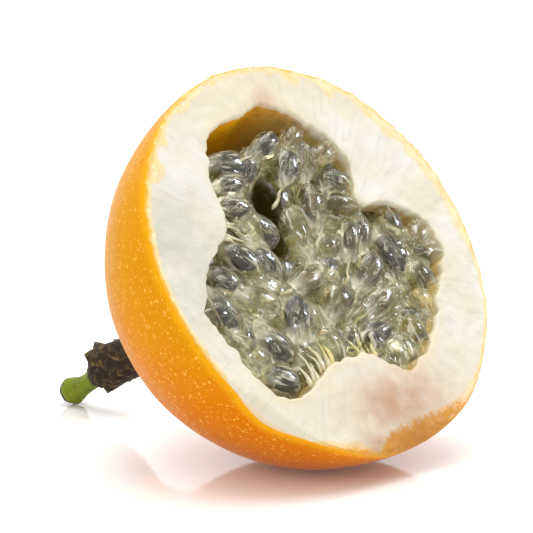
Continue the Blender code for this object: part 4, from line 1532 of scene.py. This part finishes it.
def along_table(table, reach):
    """The other columns of a table at this reach, on a smooth curve through its rows."""
    count = len(table)
    i = max(0, min(count - 2, sum(row[0] <= reach for row in table) - 1))
    rows = [table[max(0, i - 1)], table[i], table[i + 1], table[min(count - 1, i + 2)]]
    span = rows[2][0] - rows[1][0]
    t = (reach - rows[1][0]) / span
    found = []
    for column in range(1, len(table[0])):
        a, b, c, d = (row[column] for row in rows)
        slope_b = (c - a) / max(span, rows[2][0] - rows[0][0]) * span
        slope_c = (d - b) / max(span, rows[3][0] - rows[1][0]) * span
        value = (2 * t**3 - 3 * t**2 + 1) * b + (3 * t**2 - 2 * t**3) * c
        found.append(value + (t**3 - 2 * t**2 + t) * slope_b + (t**3 - t**2) * slope_c)
    return found


def stalk_material(colours):
    """Green stem, grown: smooth bark with fine ridges, paler on its cut end and brown at the calyx."""
    made, add, shader = new_material("green_stem")
    place = add("TexCoord", output="Object")
    cut_end, joint = (add("Attribute", output="Fac", attribute_name=name) for name in ("cut_end", "joint"))
    green = layered(
        add,
        colours.stalk,
        (patches(add, place, 2.5 * MM, 0.35, 0.7, detail=3), colour(STALK_DEEP)),
        # Pale yellow-green flecks: painted highlights
        (patches(add, place, 0.8 * MM, 0.6, 0.75, 0, 0.5, 3), colour(STALK_HIGHLIGHT)),
        (cut_end, colour(STALK_CUT)),
        (joint, colours.calyx),
    )
    fill(shader, {
        "Base Color": green,
        "Roughness": 0.45,
        "Specular IOR Level": 0.25,
        "Normal": relief(add, place, 0.6 * MM, 0.08 * MM, 0.5, 3),
    })
    return made


def build_stalk(colours):
    """The green stalk, which swells to its cut end and lies on the table with it."""
    bm = bmesh.new()
    turn, cut_end, joint = (bm.verts.layers.float.new(name) for name in ("turn", "cut_end", "joint"))
    first, last = STALK[0][0], STALK[-1][0]
    shoulder = last - STALK_END_ROUND

    def section(vert, reach, share=1.0):
        lift, radius = along_table(STALK, reach)
        radius *= (1 + STALK_RIDGE * math.sin(STALK_RIDGES * vert[turn]) * share) * share
        place = Vector((radius * math.cos(vert[turn]), lift + radius * math.sin(vert[turn]), -reach))
        place = AXIS @ (place * MM)
        vert.co = Vector((place.x, place.y, max(0, place.z)))
        vert[joint] = smooth(first + STALK_JOINT, first, reach)

    edges = start_ring(bm, STALK_SIDES, turn)
    for vert in bm.verts:
        section(vert, first)
    close_ring(bm, edges)
    for i in range(1, STALK_RINGS + 1):
        reach = first + (shoulder - first) * i / STALK_RINGS
        edges = grow_ring(bm, edges, lambda vert: section(vert, reach))
    for i in range(1, STALK_END_RINGS + 1):
        lean = math.pi / 2 * i / STALK_END_RINGS
        reach = shoulder + STALK_END_ROUND * math.sin(lean)
        share = 1 - STALK_END_ROUND / STALK[-1][2] * (1 - math.cos(lean))
        edges = grow_ring(bm, edges, lambda vert: section(vert, reach, share))
    for share in STALK_CUT_RINGS:
        edges = grow_ring(bm, edges, lambda vert: section(vert, last, share))
        for edge in edges:
            for vert in edge.verts:
                vert[cut_end] = 1
    close_ring(bm, edges)
    finish_piece("stem", bm, [stalk_material(colours)], ["stalk"])


def floor_material(colours):
    """White studio board under a thin gloss, with a painted glow that only the eye sees, weaker close round
    the fruit.

    So the fruit's shadow and mirror image show where it stands, and fade out farther off.
    """
    made, add, shader = new_material("white_studio_board")
    place = add("TexCoord", output="Object")
    # Painted glow that only the camera sees, weaker near where the body and the stalk rest
    lit = FLOOR_PAINTED_GLOW
    for foot, start, end in FEET:
        apart = add("VectorMath", (place, foot), "Value", operation="DISTANCE")
        near = add("MapRange", (apart, start, end, 0, FLOOR_PAINTED_GLOW), **EVEN)
        lit = add("Math", (lit, near), operation="MINIMUM")
    seen = add("LightPath", output="Is Camera Ray")
    fill(shader, {
        "Base Color": colours.floor,
        "Roughness": patches(add, place, 40 * MM, 0.3, 0.7, 0.07, 0.09),
        "Specular IOR Level": 0.65,
        "Emission Color": (1, 1, 1, 1),
        "Emission Strength": add("Math", (lit, seen, FLOOR_GLOW), operation="MULTIPLY_ADD"),
    })
    return made


def area_lamp(name, place, size, power, tint):
    """A soft box that looks at the fruit."""
    lamp = bpy.data.lights.new(name, "AREA")
    lamp.shape = "RECTANGLE"
    lamp.size, lamp.size_y = size
    lamp.energy = power
    lamp.color = colour(tint)[:3]
    obj = bpy.data.objects.new(name, lamp)
    obj.location = place
    obj.rotation_euler = (BODY_MIDDLE - Vector(place)).to_track_quat("-Z", "Y").to_euler()
    obj.visible_diffuse = name not in GLOSS_LAMPS
    bpy.context.scene.collection.objects.link(obj)


def build_stage(colours):
    """Floor, light and the camera at the photograph's angle."""
    scene = bpy.context.scene
    bm = bmesh.new()
    bmesh.ops.create_grid(bm, x_segments=2, y_segments=2, size=FLOOR_SIZE / 2)
    mesh = bpy.data.meshes.new("floor")
    bm.to_mesh(mesh)
    bm.free()
    mesh.materials.append(floor_material(colours))
    floor = bpy.data.objects.new("floor", mesh)
    scene.collection.objects.link(floor)

    world = bpy.data.worlds.new("studio")
    world.use_nodes = True
    add = functools.partial(node, world.node_tree)
    rays = [add("LightPath", output=name) for name in ("Is Camera Ray", "Is Glossy Ray")]
    seen = add("Math", rays, operation="MAXIMUM")
    strength = add("MapRange", (seen, 0, 1, WORLD_STRENGTH, WORLD_SEEN), **EVEN)
    fill(world.node_tree.nodes["Background"], {"Color": (1, 1, 1, 1), "Strength": strength})
    scene.world = world
    for lamp in LAMPS:
        area_lamp(*lamp)
    sun = bpy.data.objects.new("sun", bpy.data.lights.new("sun", "SUN"))
    sun.data.energy = SUN_STRENGTH
    sun.data.angle = SUN_SPREAD
    sun.rotation_euler = (-SUN_FROM).to_track_quat("-Z", "Y").to_euler()
    scene.collection.objects.link(sun)

    back = Vector((
        math.sin(VIEW_AZIMUTH) * math.cos(VIEW_ELEVATION),
        -math.cos(VIEW_AZIMUTH) * math.cos(VIEW_ELEVATION),
        math.sin(VIEW_ELEVATION),
    ))
    right = Vector((math.cos(VIEW_AZIMUTH), math.sin(VIEW_AZIMUTH), 0))
    aim = FACE.translation + right * AIM_RIGHT + back.cross(right) * AIM_UP
    camera = bpy.data.objects.new("camera", bpy.data.cameras.new("camera"))
    camera.data.lens = LENS
    camera.data.sensor_width = SENSOR
    camera.location = FACE.translation + back * VIEW_DISTANCE
    camera.rotation_euler = (aim - camera.location).to_track_quat("-Z", "Y").to_euler()
    camera.data.clip_start = VIEW_DISTANCE / 20
    scene.collection.objects.link(camera)
    scene.camera = camera
    scene.view_settings.view_transform = "Standard"


class FRUIT_OT_rind_and_pith(bpy.types.Operator):
    """Builds the freckled rind, the cut pith and the wall of the hollow."""

    bl_idname = "fruit.rind_and_pith"
    bl_label = "Rind and pith"
    bl_options = {"REGISTER", "UNDO"}

    def execute(self, context):
        build_shell(context.scene.fruit_sizes, context.scene.fruit_colours)
        return {"FINISHED"}


class FRUIT_OT_pulp_mass(bpy.types.Operator):
    """Builds the lumpy mass of deeper juice sacs."""

    bl_idname = "fruit.pulp_mass"
    bl_label = "Pulp mass"
    bl_options = {"REGISTER", "UNDO"}

    def execute(self, context):
        build_bed(context.scene.fruit_colours)
        return {"FINISHED"}


class FRUIT_OT_juice_sacs(bpy.types.Operator):
    """Builds the clear juice sacs that show."""

    bl_idname = "fruit.juice_sacs"
    bl_label = "Juice sacs"
    bl_options = {"REGISTER", "UNDO"}

    def execute(self, context):
        build_sacs(context.scene.fruit_colours)
        return {"FINISHED"}


class FRUIT_OT_seeds(bpy.types.Operator):
    """Builds the dark seeds in the juice sacs."""

    bl_idname = "fruit.seeds"
    bl_label = "Seeds"
    bl_options = {"REGISTER", "UNDO"}

    def execute(self, context):
        build_seeds(context.scene.fruit_sizes, context.scene.fruit_colours)
        return {"FINISHED"}


class FRUIT_OT_strands(bpy.types.Operator):
    """Builds the white strands that hold the sacs."""

    bl_idname = "fruit.strands"
    bl_label = "Strands"
    bl_options = {"REGISTER", "UNDO"}

    def execute(self, context):
        build_strands(context.scene.fruit_sizes, context.scene.fruit_colours)
        return {"FINISHED"}


class FRUIT_OT_dried_calyx(bpy.types.Operator):
    """Builds the dried calyx round the stalk's joint."""

    bl_idname = "fruit.dried_calyx"
    bl_label = "Dried calyx"
    bl_options = {"REGISTER", "UNDO"}

    def execute(self, context):
        build_calyx(context.scene.fruit_colours)
        return {"FINISHED"}


class FRUIT_OT_stem(bpy.types.Operator):
    """Builds the green stalk."""

    bl_idname = "fruit.stem"
    bl_label = "Green stalk"
    bl_options = {"REGISTER", "UNDO"}

    def execute(self, context):
        build_stalk(context.scene.fruit_colours)
        return {"FINISHED"}


class FRUIT_OT_stage(bpy.types.Operator):
    """Builds the floor, the light and the camera."""

    bl_idname = "fruit.stage"
    bl_label = "Stage"
    bl_options = {"REGISTER", "UNDO"}

    def execute(self, context):
        build_stage(context.scene.fruit_colours)
        return {"FINISHED"}


PIECES = (
    FRUIT_OT_rind_and_pith,
    FRUIT_OT_pulp_mass,
    FRUIT_OT_juice_sacs,
    FRUIT_OT_seeds,
    FRUIT_OT_strands,
    FRUIT_OT_dried_calyx,
    FRUIT_OT_stem,
    FRUIT_OT_stage,
)


class FRUIT_PT_panel(bpy.types.Panel):
    """Lists the fruit's sizes and colours, and the operators that build it."""

    bl_label = "Passion fruit half"
    bl_idname = "FRUIT_PT_panel"
    bl_space_type = "VIEW_3D"
    bl_region_type = "UI"
    bl_category = "Fruit"

    def draw(self, context):
        layout = self.layout
        for group in (context.scene.fruit_sizes, context.scene.fruit_colours):
            column = layout.column()
            for name in group.__annotations__:
                column.prop(group, name)
        for piece in PIECES:
            layout.operator(piece.bl_idname)


CLASSES = (FruitSizes, FruitColours, *PIECES, FRUIT_PT_panel)


def register():
    """Makes the settings, the operators and the panel known to Blender."""
    for made in CLASSES:
        bpy.utils.register_class(made)
    bpy.types.Scene.fruit_sizes = PointerProperty(type=FruitSizes)
    bpy.types.Scene.fruit_colours = PointerProperty(type=FruitColours)


def unregister():
    """Takes them away again."""
    del bpy.types.Scene.fruit_colours
    del bpy.types.Scene.fruit_sizes
    for made in reversed(CLASSES):
        bpy.utils.unregister_class(made)


def main():
    """Builds every piece and the stage."""
    register()
    bpy.ops.fruit.rind_and_pith()
    bpy.ops.fruit.pulp_mass()
    bpy.ops.fruit.juice_sacs()
    bpy.ops.fruit.seeds()
    bpy.ops.fruit.strands()
    bpy.ops.fruit.dried_calyx()
    bpy.ops.fruit.stem()
    bpy.ops.fruit.stage()


if __name__ == "__main__":
    main()
